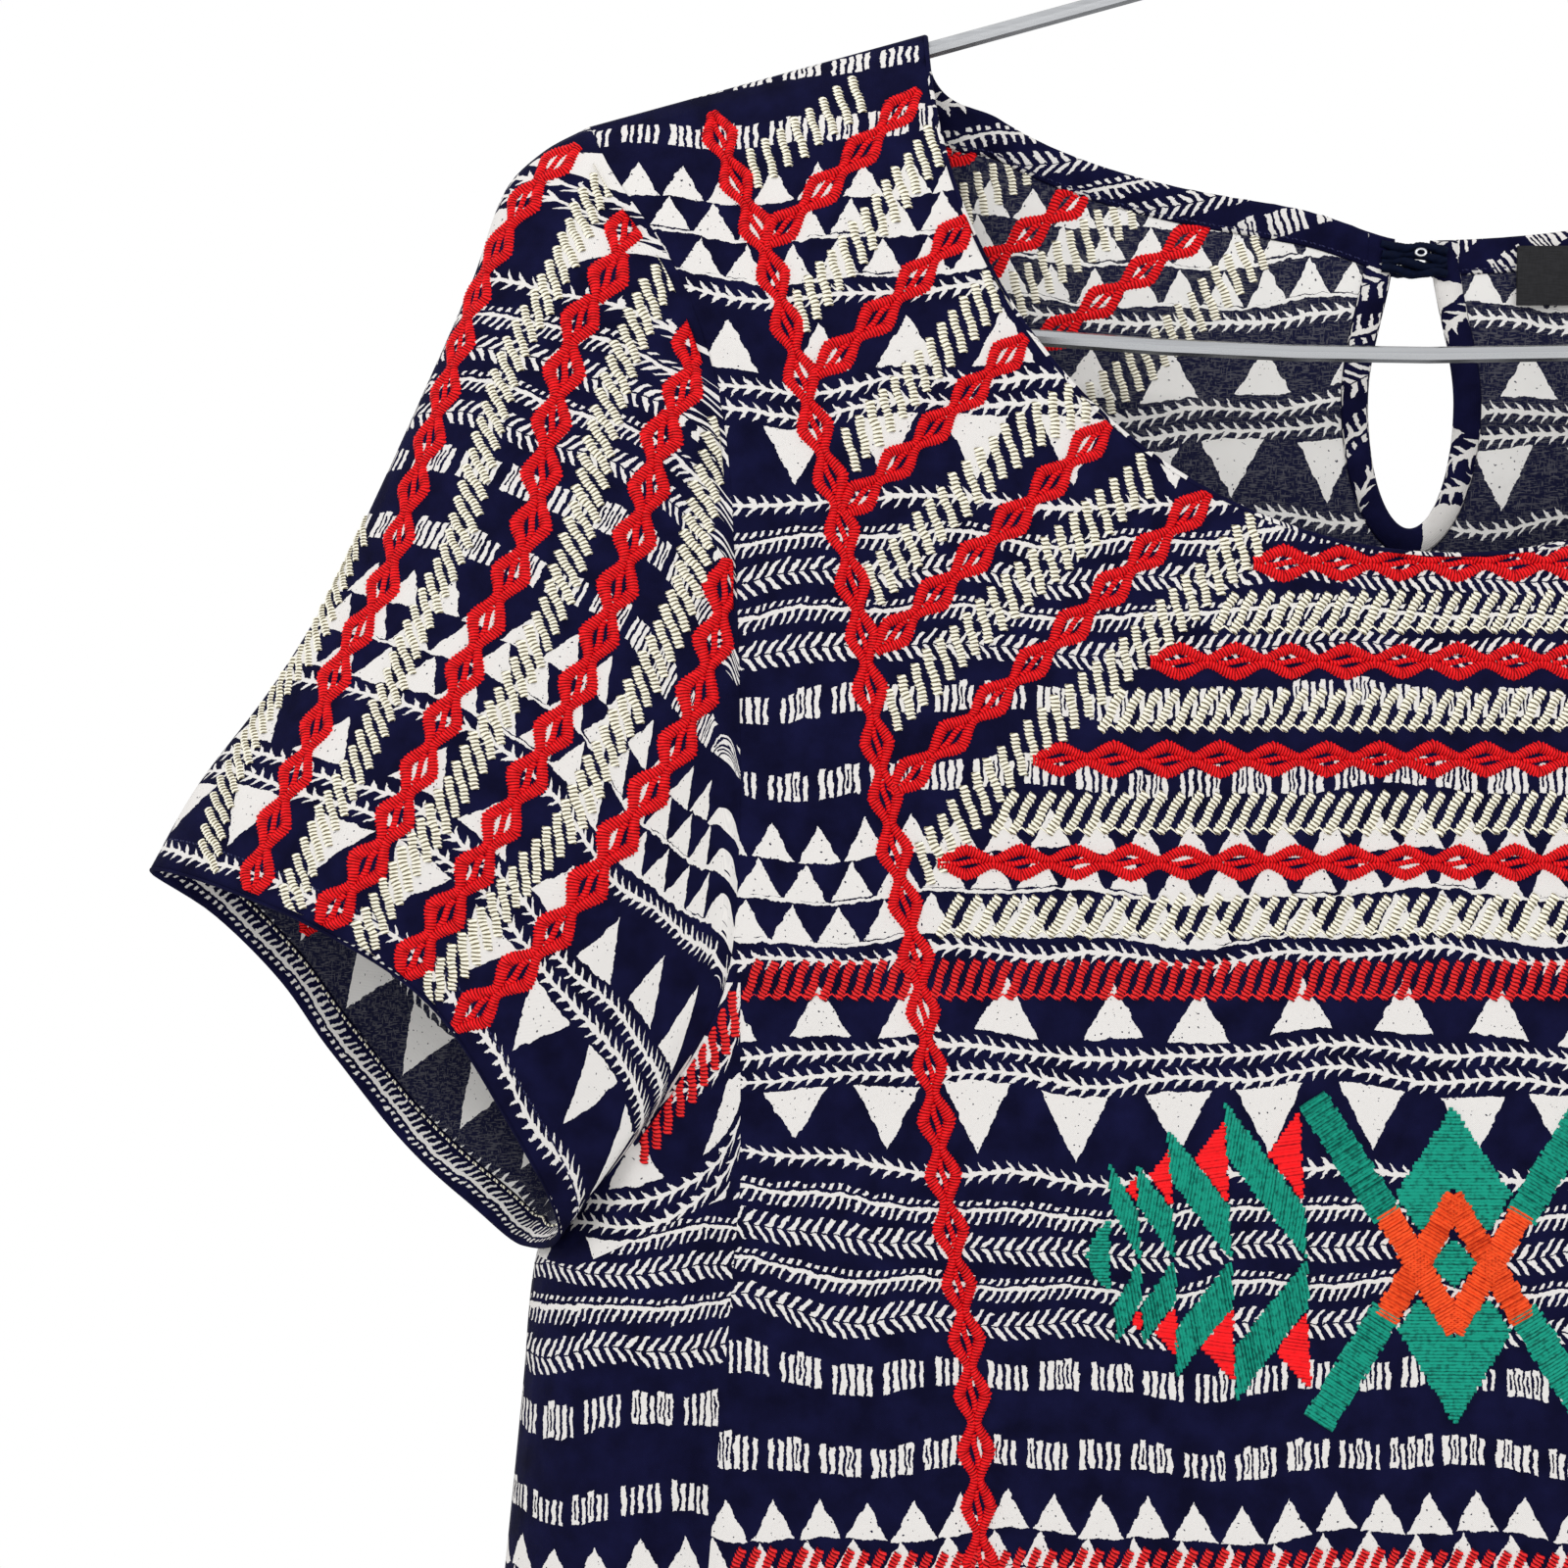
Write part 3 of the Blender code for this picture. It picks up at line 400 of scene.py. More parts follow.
class Sleeve:
    """A sleeve by t, once round from its top, and s, from the armhole to the hem."""

    step = 2e-3

    def __init__(self, sign, around=176, along=100):
        self.sign = sign
        ts, start = armhole_ring(around)
        half = np.where(ts <= 0.5, ts, 1 - ts)
        share = table(*HEM_SHARE)(half)
        hem = sleeve_hem_at(np.where(ts <= 0.5, share, (1 - share) % 1.0))
        s = np.concatenate([[0.0], np.linspace(0, 1, along)])
        direction = unit(hem - start)
        outward = np.stack([-direction[:, 2], np.zeros(len(ts)), direction[:, 0]], -1)
        top = np.maximum(np.cos(2 * math.pi * half), 0) ** 3
        out = table([r.s for r in SLEEVE_TOP], [r.out for r in SLEEVE_TOP])(s)
        grid = start[None] + (hem - start)[None] * s[:, None, None]
        grid = grid + outward[None] * (out[:, None] * top[None])[..., None]
        side = np.where(ts <= 0.5, FRONT, BACK)
        grid[..., 1] += side * SLEEVE_BELLY * np.sin(math.pi * s)[:, None] * np.sin(2 * math.pi * half)
        shift, tuck = self.seam_moves(ts, start, grid[2] - grid[1])
        grid = grid + shift[None] * ((1 - s) ** 2)[:, None, None]
        grid[0] = start + tuck
        grid[..., 1] += self.waves(ts, s, half)
        grid[..., 0] *= sign
        self.ts, self.s, self.grid = ts, s, grid
        ring = np.roll(grid, -1, 1) - np.roll(grid, 1, 1)
        down = np.gradient(grid, axis=0)
        self.normals = unit(np.cross(ring, down)) * sign
        steps = np.linalg.norm(np.diff(grid, axis=0), axis=2)
        self.to_hem = np.concatenate([np.cumsum(steps[::-1], 0)[::-1], np.zeros((1, len(ts)))])

    def waves(self, ts, s, half):
        """Soft flutes towards the hem, and gathers under the shoulder."""
        side = np.where(ts <= 0.5, FRONT, BACK)
        flute = np.sin(2 * math.pi * (half * 5.0 + 0.1)) * np.sin(2 * math.pi * half) * SLEEVE_FLUTE
        gather = np.sin(2 * math.pi * half * 17.0) * smooth(half / 0.05) * smooth((0.28 - half) / 0.12)
        high = np.exp(-((s - 0.04) / 0.13) ** 2) * smooth(s / 0.03)
        return side * (flute * smooth(s * 1.2)[:, None] + SLEEVE_GATHER * gather * high[:, None])

    def seam_moves(self, ts, start, away):
        """Where the sleeve starts beside the seam, and where its seam allowance lies under the panel."""
        n = len(ts)
        shift, tuck = np.zeros((n, 3)), np.zeros((n, 3))
        for c in range(n):
            p = start[c]
            side = FRONT if ts[c] <= 0.5 else BACK
            seam = unit(start[(c + 1) % n] - start[c - 1])
            if ts[c] == 0.0:
                out = unit(np.array([ARM_SLOPE, 0, 1.0]))
            elif ts[c] == 0.5:
                out = np.array([1.0, 0, 0])
            else:
                e = 1 * MM
                fx = (body_y(p[0], p[2], side) - body_y(p[0] - e, p[2], side)) / e
                fz = (body_y(p[0], p[2] + e, side) - body_y(p[0], p[2] - e, side)) / (2 * e)
                out = unit(np.array([fx, -1.0, fz])) * -side
            edge = unit(np.cross(out, seam))
            go = unit(away[c] - seam * away[c].dot(seam))
            over = smooth(0.8 - go.dot(edge))
            shift[c] = edge * 0.2 * MM + out * 1.2 * MM * over
            tuck[c] = -edge * 2.5 * MM * (1 - over) - out * 1.0 * MM * (1 - over) + shift[c] * over
        return shift, tuck

    def at(self, t, s):
        t = np.asarray(t, float) % 1.0
        ts = np.append(self.ts, 1.0)
        col = np.interp(t, ts, np.arange(len(ts)))
        row = 1 + np.clip(s, 0, 1) * (len(self.s) - 2)
        c0 = np.minimum(col.astype(int), len(ts) - 2)
        r0 = np.minimum(row.astype(int), len(self.s) - 2)
        fc, fr = (col - c0)[..., None], (row - r0)[..., None]
        c1 = (c0 + 1) % len(self.ts)
        points, normals = [between(g, r0, c0, c1, fr, fc) for g in (self.grid, self.normals)]
        return points, unit(normals)

    def clip(self, t, s):
        return t, np.clip(s, 0.012, 0.993)

    def under(self, px, py):
        """The front's (t, s) nearest to a pixel of the picture."""
        gx, gy = to_pixels(self.grid[1:])
        d = (gx - px) ** 2 + (gy - py) ** 2
        d[:, self.ts > 0.52] += 1e9
        r, c = np.unravel_index(np.argmin(d), d.shape)
        return float(self.ts[c]), float(self.s[1 + r])


def make_mesh(name, points, faces, uvs=None, materials=()):
    """A mesh object from arrays of points, faces of one size, and a UV for each point."""
    points, faces = np.asarray(points, np.float32), np.asarray(faces, np.int32)
    mesh = bpy.data.meshes.new(name)
    corners = faces.shape[1]
    mesh.vertices.add(len(points))
    mesh.vertices.foreach_set("co", points.ravel())
    mesh.loops.add(faces.size)
    mesh.loops.foreach_set("vertex_index", faces.ravel())
    mesh.polygons.add(len(faces))
    mesh.polygons.foreach_set("loop_start", np.arange(0, faces.size, corners, dtype=np.int32))
    mesh.polygons.foreach_set("loop_total", np.full(len(faces), corners, np.int32))
    if uvs is not None:
        layer = mesh.uv_layers.new(name="cloth")
        layer.data.foreach_set("uv", np.asarray(uvs, np.float32)[faces.ravel()].ravel())
    for m in materials:
        mesh.materials.append(m)
    mesh.update(calc_edges=True)
    mesh.shade_smooth()
    obj = bpy.data.objects.new(name, mesh)
    bpy.context.scene.collection.objects.link(obj)
    return obj


def grid_faces(rows, columns, wrap=False):
    r, c = np.meshgrid(np.arange(rows - 1), np.arange(columns if wrap else columns - 1), indexing="ij")
    d = (c + 1) % columns
    faces = np.stack([r * columns + c, r * columns + d, (r + 1) * columns + d, (r + 1) * columns + c], -1)
    return faces.reshape(-1, 4)


def weld(obj, distance=0.01 * MM):
    bm = bmesh.new()
    bm.from_mesh(obj.data)
    bmesh.ops.remove_doubles(bm, verts=bm.verts[:], dist=distance)
    bm.to_mesh(obj.data)
    bm.free()


def thicken(obj, thickness=CLOTH):
    """Gives the cloth its thickness. The second material is the wrong side."""
    solid = obj.modifiers.new("cloth", "SOLIDIFY")
    solid.thickness = thickness
    solid.offset = 0.0
    solid.material_offset = 1
    solid.material_offset_rim = 0
    return obj


# Where the print's measure on the body equals z, and the row of it along a sleeve's hem
PRINT_LEVEL_Z = -0.44
HEM_ROW = 0.4036


def print_waves(u, z):
    """How the rows of the print rise and fall across the cloth."""
    wide = 1.5 * np.sin(2 * math.pi * u / 0.097 + 0.9 * np.sin(z / 0.023))
    return (wide + 0.8 * np.sin(2 * math.pi * u / 0.041 + z / 0.017)) * MM


def between(grid, row, col, next_col, part_row, part_col):
    """Values between a grid's rows and columns."""
    low = grid[row, col] * (1 - part_col) + grid[row, next_col] * part_col
    high = grid[row + 1, col] * (1 - part_col) + grid[row + 1, next_col] * part_col
    return low * (1 - part_row) + high * part_row


def cloth_map(side, x, z):
    """Lengths over the cloth, across from its middle and up from a level, at the places x and z."""
    xs, zs = np.linspace(-0.33, 0.33, 661), np.linspace(HEM_Z - 2 * MM, -0.08, 700)
    y = body_y(xs[None], zs[:, None], side)
    across = np.sqrt(1 + np.clip(np.gradient(y, xs, axis=1), -2, 2) ** 2) * (xs[1] - xs[0])
    up = np.sqrt(1 + np.clip(np.gradient(y, zs, axis=0), -3, 3) ** 2) * (zs[1] - zs[0])
    across, up = np.cumsum(across, 1), np.cumsum(up, 0)
    level, middle = int(np.argmin(np.abs(zs - PRINT_LEVEL_Z))), len(xs) // 2
    across -= across[:, middle:middle + 1]
    up += zs[level] - up[level]
    col = np.clip((x - xs[0]) / (xs[1] - xs[0]), 0, len(xs) - 1.001)
    row = np.clip((z - zs[0]) / (zs[1] - zs[0]), 0, len(zs) - 1.001)
    c, r = col.astype(int), row.astype(int)
    return [between(m, r, c, c + 1, row - r, col - c) for m in (across, up)]


def build_body(name, side, materials):
    a = refine(COLUMNS, COLUMN_STEP)
    underarm = (UNDERARM_Z - HEM_Z) / (SHOULDER_POINT_Z - HEM_Z)
    turns = [0.93, 0.95]
    if side == BACK:
        foot = [KEYHOLE_WIDEST_Z - (KEYHOLE_WIDEST_Z - KEYHOLE_END_Z) * math.sin(math.radians(d))
                for d in range(90, -1, -10)]
        turns = [(z - HEM_Z) / (BACK_NECK_Z - HEM_Z) for z in foot]
    rows = [0.0, underarm * 0.5, underarm * 0.93, underarm, underarm + 0.01] + turns + TURN_ROWS
    v = refine(rows, ROW_STEP)
    x, z = panel_points(a, v, side)
    points, uvs, faces = [], [], []
    for sign in (-1, 1):
        xs = x * sign
        zs = z + neck_rise(xs, z, side)
        u, w = cloth_map(side, xs, zs)
        f = grid_faces(*x.shape) + len(points) * x.size
        faces.append(f[:, ::-1] if (sign == -1) == (side == FRONT) else f)
        points.append(np.stack([xs, body_y(xs, zs, side), zs], -1).reshape(-1, 3))
        uvs.append(np.stack([u, w + print_waves(u, zs)], -1).reshape(-1, 2))
    obj = make_mesh(name, np.concatenate(points), np.concatenate(faces), np.concatenate(uvs), materials)
    weld(obj)
    return thicken(obj)


def build_sleeve(name, sleeve, materials):
    """The sleeve's cloth, with the print's rows along the hem and its seam under the arm."""
    rows, columns = sleeve.grid.shape[:2]
    dv = np.diff(np.concatenate([sleeve.to_hem, sleeve.to_hem[:, :1]], 1), axis=1)
    girth = np.linalg.norm(np.roll(sleeve.grid, -1, 1) - sleeve.grid, axis=2)
    across = np.sqrt(np.maximum(girth**2 - dv**2, (0.3 * girth) ** 2))
    u = np.concatenate([np.zeros((rows, 1)), np.cumsum(across, 1)], 1)
    seam = int(np.argmin(np.abs(sleeve.ts - 0.5)))
    order = np.concatenate([np.arange(seam, columns), np.arange(0, seam + 1)])
    back = u[:, seam:columns] - u[:, columns:]
    u = np.concatenate([back, u[:, :seam + 1]], 1)
    under = np.abs(u) / np.maximum(np.abs(u).max(1, keepdims=True), 1e-6)
    to_hem = sleeve.to_hem[:, order]
    w = -HEM_ROW + to_hem * (1 - 0.2 * smooth((under - 0.45) / 0.3)) + print_waves(u, to_hem) * 0.6
    faces = grid_faces(rows, columns + 1)
    if sleeve.sign < 0:
        faces = faces[:, ::-1]
    uvs = np.stack([u, w], -1).reshape(-1, 2)
    obj = make_mesh(name, sleeve.grid[:, order].reshape(-1, 3), faces, uvs, materials)
    weld(obj)
    return thicken(obj)


def ribbon(name, lines, uvs, material):
    """Cloth through lines of points that lie side by side."""
    lines = np.stack(lines, 1)
    faces = grid_faces(*lines.shape[:2])
    return make_mesh(name, lines.reshape(-1, 3), faces, np.stack(uvs, 1).reshape(-1, 2), [material])


# How a facing lies, in millimetres: into the cloth from its edge, and out of the cloth
FACING = [(0.6, 0.55), (-0.15, 0.5), (-0.5, 0.0), (-0.4, -0.6), (0.5, -1.0), (4.0, -1.15), (8.0, -1.0),
          (8.6, -0.6), (8.5, -0.45)]


def neck_point(angle, out):
    """The neck's line at an angle from its lowest point; it is the back's beyond the shoulders."""
    side = FRONT if math.cos(angle) > 0 else BACK
    half = NECK_HALF + out
    x = half * math.sin(angle)
    z = float(neck_z(x, side, out))
    point, normal = Body(side).at(np.array([x]), np.array([z]))
    return point[0], normal[0]


def build_neck_facing(material):
    """The bias strip that is sewn to the neck's edge and turned inside."""
    gap = math.asin((KEYHOLE_TOP_HALF - 0.4 * MM) / NECK_HALF)
    angles = np.linspace(-math.pi + gap, math.pi - gap, 420)
    lines, uvs = [], []
    edge = np.array([neck_point(a, 0.0)[0] for a in angles])
    along = lengths(edge)
    left_back = (edge[:, 1] > 0) & (edge[:, 0] < -12 * MM) & (edge[:, 0] > -64 * MM)
    gather = np.where(left_back, 0.7, 0.25)
    ripple = gather * (np.sin(along / 0.0011) + 0.6 * np.sin(along / 0.00067 + 1.0))
    for (o, n), width in zip(FACING, lengths(np.array(FACING)) * MM):
        line = []
        for a, r in zip(angles, ripple):
            point, normal = neck_point(a, o * MM)
            line.append(point + normal * (n + r * (0.35 if o < 6 else 0.1)) * MM)
        lines.append(np.array(line))
        uvs.append(np.stack([along * 0.85 + width * 0.5, along * 0.5 - width * 0.85 + 0.028], -1))
    return ribbon("neck_facing", lines, uvs, material)


def keyhole_point(angle, out):
    """The keyhole's line, from its left top down round the foot to its right top."""
    share = abs(angle) / math.pi
    end = KEYHOLE_END_Z - out
    if share < 0.5:
        z = KEYHOLE_WIDEST_Z - (KEYHOLE_WIDEST_Z - end) * math.cos(share * math.pi)
    else:
        z = KEYHOLE_WIDEST_Z + (BACK_NECK_Z - KEYHOLE_WIDEST_Z) * (share - 0.5) * 2
    x = float(keyhole_half(np.array(z), out)) if share > 0 else 0.0
    x *= math.copysign(1, angle)
    z += float(neck_rise(x, z, BACK))
    point, normal = Body(BACK).at(np.array([x]), np.array([z]))
    return point[0], normal[0]


def build_keyhole_facing(material):
    angles = np.linspace(-math.pi, math.pi, 241)
    edge = np.array([keyhole_point(a, 0.0)[0] for a in angles])
    along = lengths(edge)
    lines, uvs = [], []
    for k, (o, n) in enumerate(FACING, 1):
        o *= 0.78
        n -= 0.35 if n < -0.9 else 0.0
        width = k * 1.3 * MM
        spots = [keyhole_point(a, o * MM) for a in angles]
        lines.append(np.array([point + normal * (n * MM) for point, normal in spots]))
        uvs.append(np.stack([along * 0.7 + width, along * 0.7 - width + 0.05], -1))
    return ribbon("keyhole_facing", lines, uvs, material)


# How a sleeve's turned hem lies, in the same way
HEM_TURN = [(0.3, 0.5), (-0.25, 0.42), (-0.55, 0.0), (-0.3, -0.5), (1.0, -0.85), (8.2, -0.9), (8.8, -0.6),
            (8.7, -0.42)]


def build_hem_band(name, sleeve, material):
    """The sleeve's hem turned inside."""
    order = np.concatenate([np.arange(len(sleeve.ts)), [0]])
    lines, uvs = [], []
    u = lengths(sleeve.grid[-1][order])
    down = unit(sleeve.grid[-1] - sleeve.grid[-4])
    length = sleeve.to_hem[1]
    for (o, n), width in zip(HEM_TURN, lengths(np.array(HEM_TURN)) * MM):
        if o > 0:
            points, normals = sleeve.at(sleeve.ts, 1 - o * MM / length)
        else:
            points, normals = sleeve.grid[-1] - down * o * MM, sleeve.normals[-1]
        lines.append((points + normals * n * MM)[order])
        uvs.append(np.stack([u, np.full(len(u), 3.0 * MM - HEM_ROW - width)], -1))
    return ribbon(name, lines, uvs, material)


class Value:
    """A number in a node tree, for writing a pattern as arithmetic."""

    def __init__(self, tree, socket):
        self.tree, self.socket = tree, socket

    def op(self, name, *others):
        node = self.tree.nodes.new("ShaderNodeMath")
        node.operation = name
        self.tree.links.new(self.socket, node.inputs[0])
        for i, other in enumerate(others, 1):
            if isinstance(other, Value):
                self.tree.links.new(other.socket, node.inputs[i])
            else:
                node.inputs[i].default_value = other
        return Value(self.tree, node.outputs[0])

    __add__ = partialmethod(op, "ADD")
    __sub__ = partialmethod(op, "SUBTRACT")
    __mul__ = partialmethod(op, "MULTIPLY")
    __truediv__ = partialmethod(op, "DIVIDE")
    abs = partialmethod(op, "ABSOLUTE")
    floor = partialmethod(op, "FLOOR")
    fract = partialmethod(op, "FRACT")
    sin = partialmethod(op, "SINE")
    cos = partialmethod(op, "COSINE")
    less = partialmethod(op, "LESS_THAN")
    more = partialmethod(op, "GREATER_THAN")
    max = partialmethod(op, "MAXIMUM")
    min = partialmethod(op, "MINIMUM")

    def invert(self):
        return (self * -1.0) + 1.0

    def clamp(self):
        return self.max(0.0).min(1.0)

    def ramp(self, start, end):
        """0 at the start, 1 at the end, and even between them."""
        return ((self - start) / (end - start)).clamp()


def numbers(tree, socket):
    """The three numbers of a vector or a colour."""
    split = tree.nodes.new("ShaderNodeSeparateXYZ")
    tree.links.new(socket, split.inputs[0])
    return [Value(tree, out) for out in split.outputs]


def cloth_uv(tree, scale):
    """The cloth's own measure as a vector and as two numbers."""
    uv = tree.nodes.new("ShaderNodeUVMap")
    uv.uv_map = "cloth"
    node = tree.nodes.new("ShaderNodeVectorMath")
    node.operation = "SCALE"
    node.inputs["Scale"].default_value = scale
    tree.links.new(uv.outputs[0], node.inputs[0])
    u, v, _ = numbers(tree, node.outputs[0])
    return node.outputs[0], u, v


class Print:
    """The block print: rows of hand-cut motifs that repeat down the cloth. Sizes are in millimetres."""

    REPEAT = 161.0
    START = 284.6
    # The edge of the fold beside the armhole
    FOLD_X, FOLD_LEAN, FOLD_BENDS_Z, FOLD_TOP_Z = 171.8, -0.083, -400.0, -352.0
    # The crease beyond it: its height at the edge, and how far it reaches and rises
    CREASE_Z, CREASE_REACH, CREASE_RISE = -401.7, 38.0, 19.9
    # How far the rows slide: above the crease at the edge, how much more far from it and where half of that
    # is reached; below the crease at the edge and how much more at its end; and inside the edge, upwards
    DRAWN, DRAWN_MORE, DRAWN_HALFWAY = 14.0, 29.0, 9.0
    HUNG, HUNG_MORE = 10.5, 6.5
    LIFTED = 8.0

    def __init__(self, tree, beside_fold=False):
        self.tree = tree
        self.vector, u, v = cloth_uv(tree, 1000.0)
        if beside_fold:
            v = v + self.slide()
        coarse, fine = self.noise(0.30), self.noise(1.5)
        self.u = u + (coarse[0] - 0.5) * 1.3 + (fine[0] - 0.5) * 0.45
        self.v = (v * -1.0 - self.START) + (coarse[1] - 0.5) * 1.3 + (fine[1] - 0.5) * 0.45
        self.grain = self.noise(1.05)[2]
        self.worn = coarse[2]

    def slide(self):
        """How far down the print has slid beside the fold that drops from the armhole.

        Beyond the fold's sharp edge a crease swallows some rows: those above it are drawn aslant to the
        armhole. The rows just inside the edge are lifted."""
        place = self.tree.nodes.new("ShaderNodeTexCoord")
        x, _, z = numbers(self.tree, place.outputs["Object"])
        x, z = (x * 1000.0).abs(), z * 1000.0
        past = x - ((z - self.FOLD_BENDS_Z).min(0.0) * self.FOLD_LEAN + self.FOLD_X)
        beside = past.more(0.0) * z.less(self.FOLD_TOP_Z)
        past = past.max(0.0)
        share = (past / self.CREASE_REACH).min(1.0)
        above = beside * (z + share * self.CREASE_RISE).more(self.CREASE_Z)
        drawn = (past / (past + self.DRAWN_HALFWAY)) * self.DRAWN_MORE + self.DRAWN
        hung = (share * self.HUNG_MORE + self.HUNG) * z.ramp(-800.0, -550.0)
        level = z.ramp(-375.0, -393.0) * z.ramp(-475.0, -430.0)
        below = beside * hung - x.ramp(140.0, 170.0) * level * self.LIFTED
        return above * drawn + above.invert() * below

    def noise(self, scale):
        node = self.tree.nodes.new("ShaderNodeTexNoise")
        node.noise_dimensions = "2D"
        node.inputs["Scale"].default_value = scale
        node.inputs["Detail"].default_value = 1.0
        self.tree.links.new(self.vector, node.inputs["Vector"])
        return numbers(self.tree, node.outputs["Color"])

    def random(self, value, seed):
        node = self.tree.nodes.new("ShaderNodeTexWhiteNoise")
        node.noise_dimensions = "1D"
        self.tree.links.new((value + seed * 17.31).socket, node.inputs["W"])
        return Value(self.tree, node.outputs["Value"])

    def down(self, centre):
        """The distance down from a row's middle."""
        return (self.v - centre).op("WRAP", self.REPEAT / 2, -self.REPEAT / 2)

    def bars(self, centre, height, seed, pitch=2.05):
        """Upright bars in groups of five, some of them hollow."""
        d = self.down(centre)
        x = self.u / pitch + seed * 0.37
        i = x.floor()
        f = (x.fract() - 0.5).abs()
        chance = self.random(i, seed)
        tall = (chance * 0.2 + 0.8) * (height / 2)
        d = (d + (chance - 0.5) * 0.9).abs()
        group = ((i + seed) / 6.0).fract().less(0.8)
        bar = f.less(chance * 0.2 + 0.21) * d.less(tall)
        slot = f.less(0.12) * d.less(tall * 0.62) * chance.more(0.76)
        return bar * group * slot.invert()

    def triangles(self, centre, height, pitch, base, up=True, seed=0, sway=0.0):
        d = self.down(centre) / height
        d = (d if up else d * -1.0) + 0.5
        x = self.u / pitch + seed * 0.29
        chance = self.random(x.floor(), seed)
        f = (x.fract() - 0.5 + (chance - 0.5) * sway).abs() * pitch
        return f.less(d * (base / 2)) * d.less(chance * 0.1 + 0.93) * self.grain.less(0.76)

    def line(self, centre, width):
        return self.down(centre).abs().less(self.worn * width)

    def wavy(self, centre, seed):
        return self.down(centre) + (self.u * 0.17 + seed).sin() * 0.45

    def arrow_vine(self, centre, seed, pitch=3.25):
        """A stem with pairs of leaves that lean back."""
        d = self.wavy(centre, seed)
        reach = d.abs()
        x = (self.u + reach * 0.85) / pitch + seed * 0.31
        f = (x.fract() - 0.5).abs() * pitch
        taper = reach / 2.6
        leaf = f.less((taper * taper).invert() * 0.66) * reach.less(2.55)
        return leaf.max(reach.less(0.5))

    def comb_vine(self, centre, seed, pitch=2.07):
        """A stem with teeth below it and loose dashes above."""
        d = self.wavy(centre, seed)
        x = (self.u + d * 0.55) / pitch + seed * 0.31
        f = (x.fract() - 0.5).abs() * pitch
        chance = self.random(x.floor(), seed)
        teeth = f.less(d.max(0.0) * -0.045 + 0.45) * d.more(0.0) * d.less(chance * 0.7 + 2.8)
        dashes = f.less(0.42) * d.less(-1.2) * d.more(chance * -0.6 - 2.1)
        return teeth.max(dashes).max(d.abs().less(0.48))

    def chevrons(self, centre, height, seed, pitch=2.7):
        d = self.wavy(centre, seed)
        reach = d.abs()
        x = (self.u - reach * 0.75) / pitch + seed * 0.53
        f = (x.fract() - 0.5).abs() * pitch
        chance = self.random(x.floor(), seed)
        leg = f.less(reach * -0.07 + 0.68) * reach.more(0.18)
        return leg * reach.less((chance * 0.2 + 0.8) * (height / 2))

    def mask(self):
        """1 where the cloth is ivory."""
        rows = [
            self.bars(0.0, 7.2, 1),
            self.bars(18.5, 7.2, 2),
            self.triangles(32.3, 9.5, 11.1, 10.6, seed=1),
            self.triangles(41.5, 9.2, 11.1, 10.4, seed=2),
            self.line(46.4, 0.8),
            self.triangles(51.9, 9.4, 11.1, 10.6, seed=3),
            self.line(56.7, 0.8),
            self.arrow_vine(61.0, 3.0),
            self.triangles(73.8, 13.2, 23.0, 15.0, seed=4, sway=0.16),
            self.arrow_vine(84.0, 5.0),
            self.arrow_vine(89.9, 6.1),
            self.triangles(100.5, 15.8, 23.0, 16.0, up=False, seed=5, sway=0.16),
            self.arrow_vine(113.0, 7.3),
            self.comb_vine(121.8, 8.2),
            self.chevrons(130.7, 7.4, 9),
            self.comb_vine(139.6, 10.4),
            self.chevrons(148.6, 7.4, 11),
        ]
        total = rows[0]
        for row in rows[1:]:
            total = total.max(row)
        return total


def srgb(r, g, b):
    def linear(c):
        c /= 255.0
        return c / 12.92 if c <= 0.04045 else ((c + 0.055) / 1.055) ** 2.4
    return (linear(r), linear(g), linear(b), 1.0)


def new_material(name, roughness=0.8, specular=0.5):
    made = bpy.data.materials.new(name)
    made.use_nodes = True
    shader = made.node_tree.nodes["Principled BSDF"]
    shader.inputs["Roughness"].default_value = roughness
    shader.inputs["Specular IOR Level"].default_value = specular
    return made, made.node_tree, shader


def mix(tree, factor, a, b):
    node = tree.nodes.new("ShaderNodeMix")
    node.data_type = "RGBA"
    for value, socket in ((a, node.inputs["A"]), (b, node.inputs["B"])):
        if isinstance(value, tuple):
            socket.default_value = value
        else:
            tree.links.new(value, socket)
    tree.links.new(factor.socket, node.inputs["Factor"])
    return node.outputs["Result"]


def bump(tree, shader, height, distance, strength):
    node = tree.nodes.new("ShaderNodeBump")
    node.inputs["Distance"].default_value = distance
    node.inputs["Strength"].default_value = strength
    tree.links.new(height.socket, node.inputs["Height"])
    tree.links.new(node.outputs[0], shader.inputs["Normal"])


def object_noise(tree, scale, detail=2.0, stretch=(1, 1, 1)):
    place = tree.nodes.new("ShaderNodeTexCoord")
    mapping = tree.nodes.new("ShaderNodeMapping")
    mapping.inputs["Scale"].default_value = stretch
    node = tree.nodes.new("ShaderNodeTexNoise")
    node.inputs["Scale"].default_value = scale
    node.inputs["Detail"].default_value = detail
    tree.links.new(place.outputs["Object"], mapping.inputs[0])
    tree.links.new(mapping.outputs[0], node.inputs["Vector"])
    return Value(tree, node.outputs["Fac"])


def weave(tree, pitch=0.42):
    """The small hills of a plain weave."""
    _, u, v = cloth_uv(tree, 2 * math.pi / (pitch * MM))
    return u.sin() * v.sin() * 0.5 + 0.5


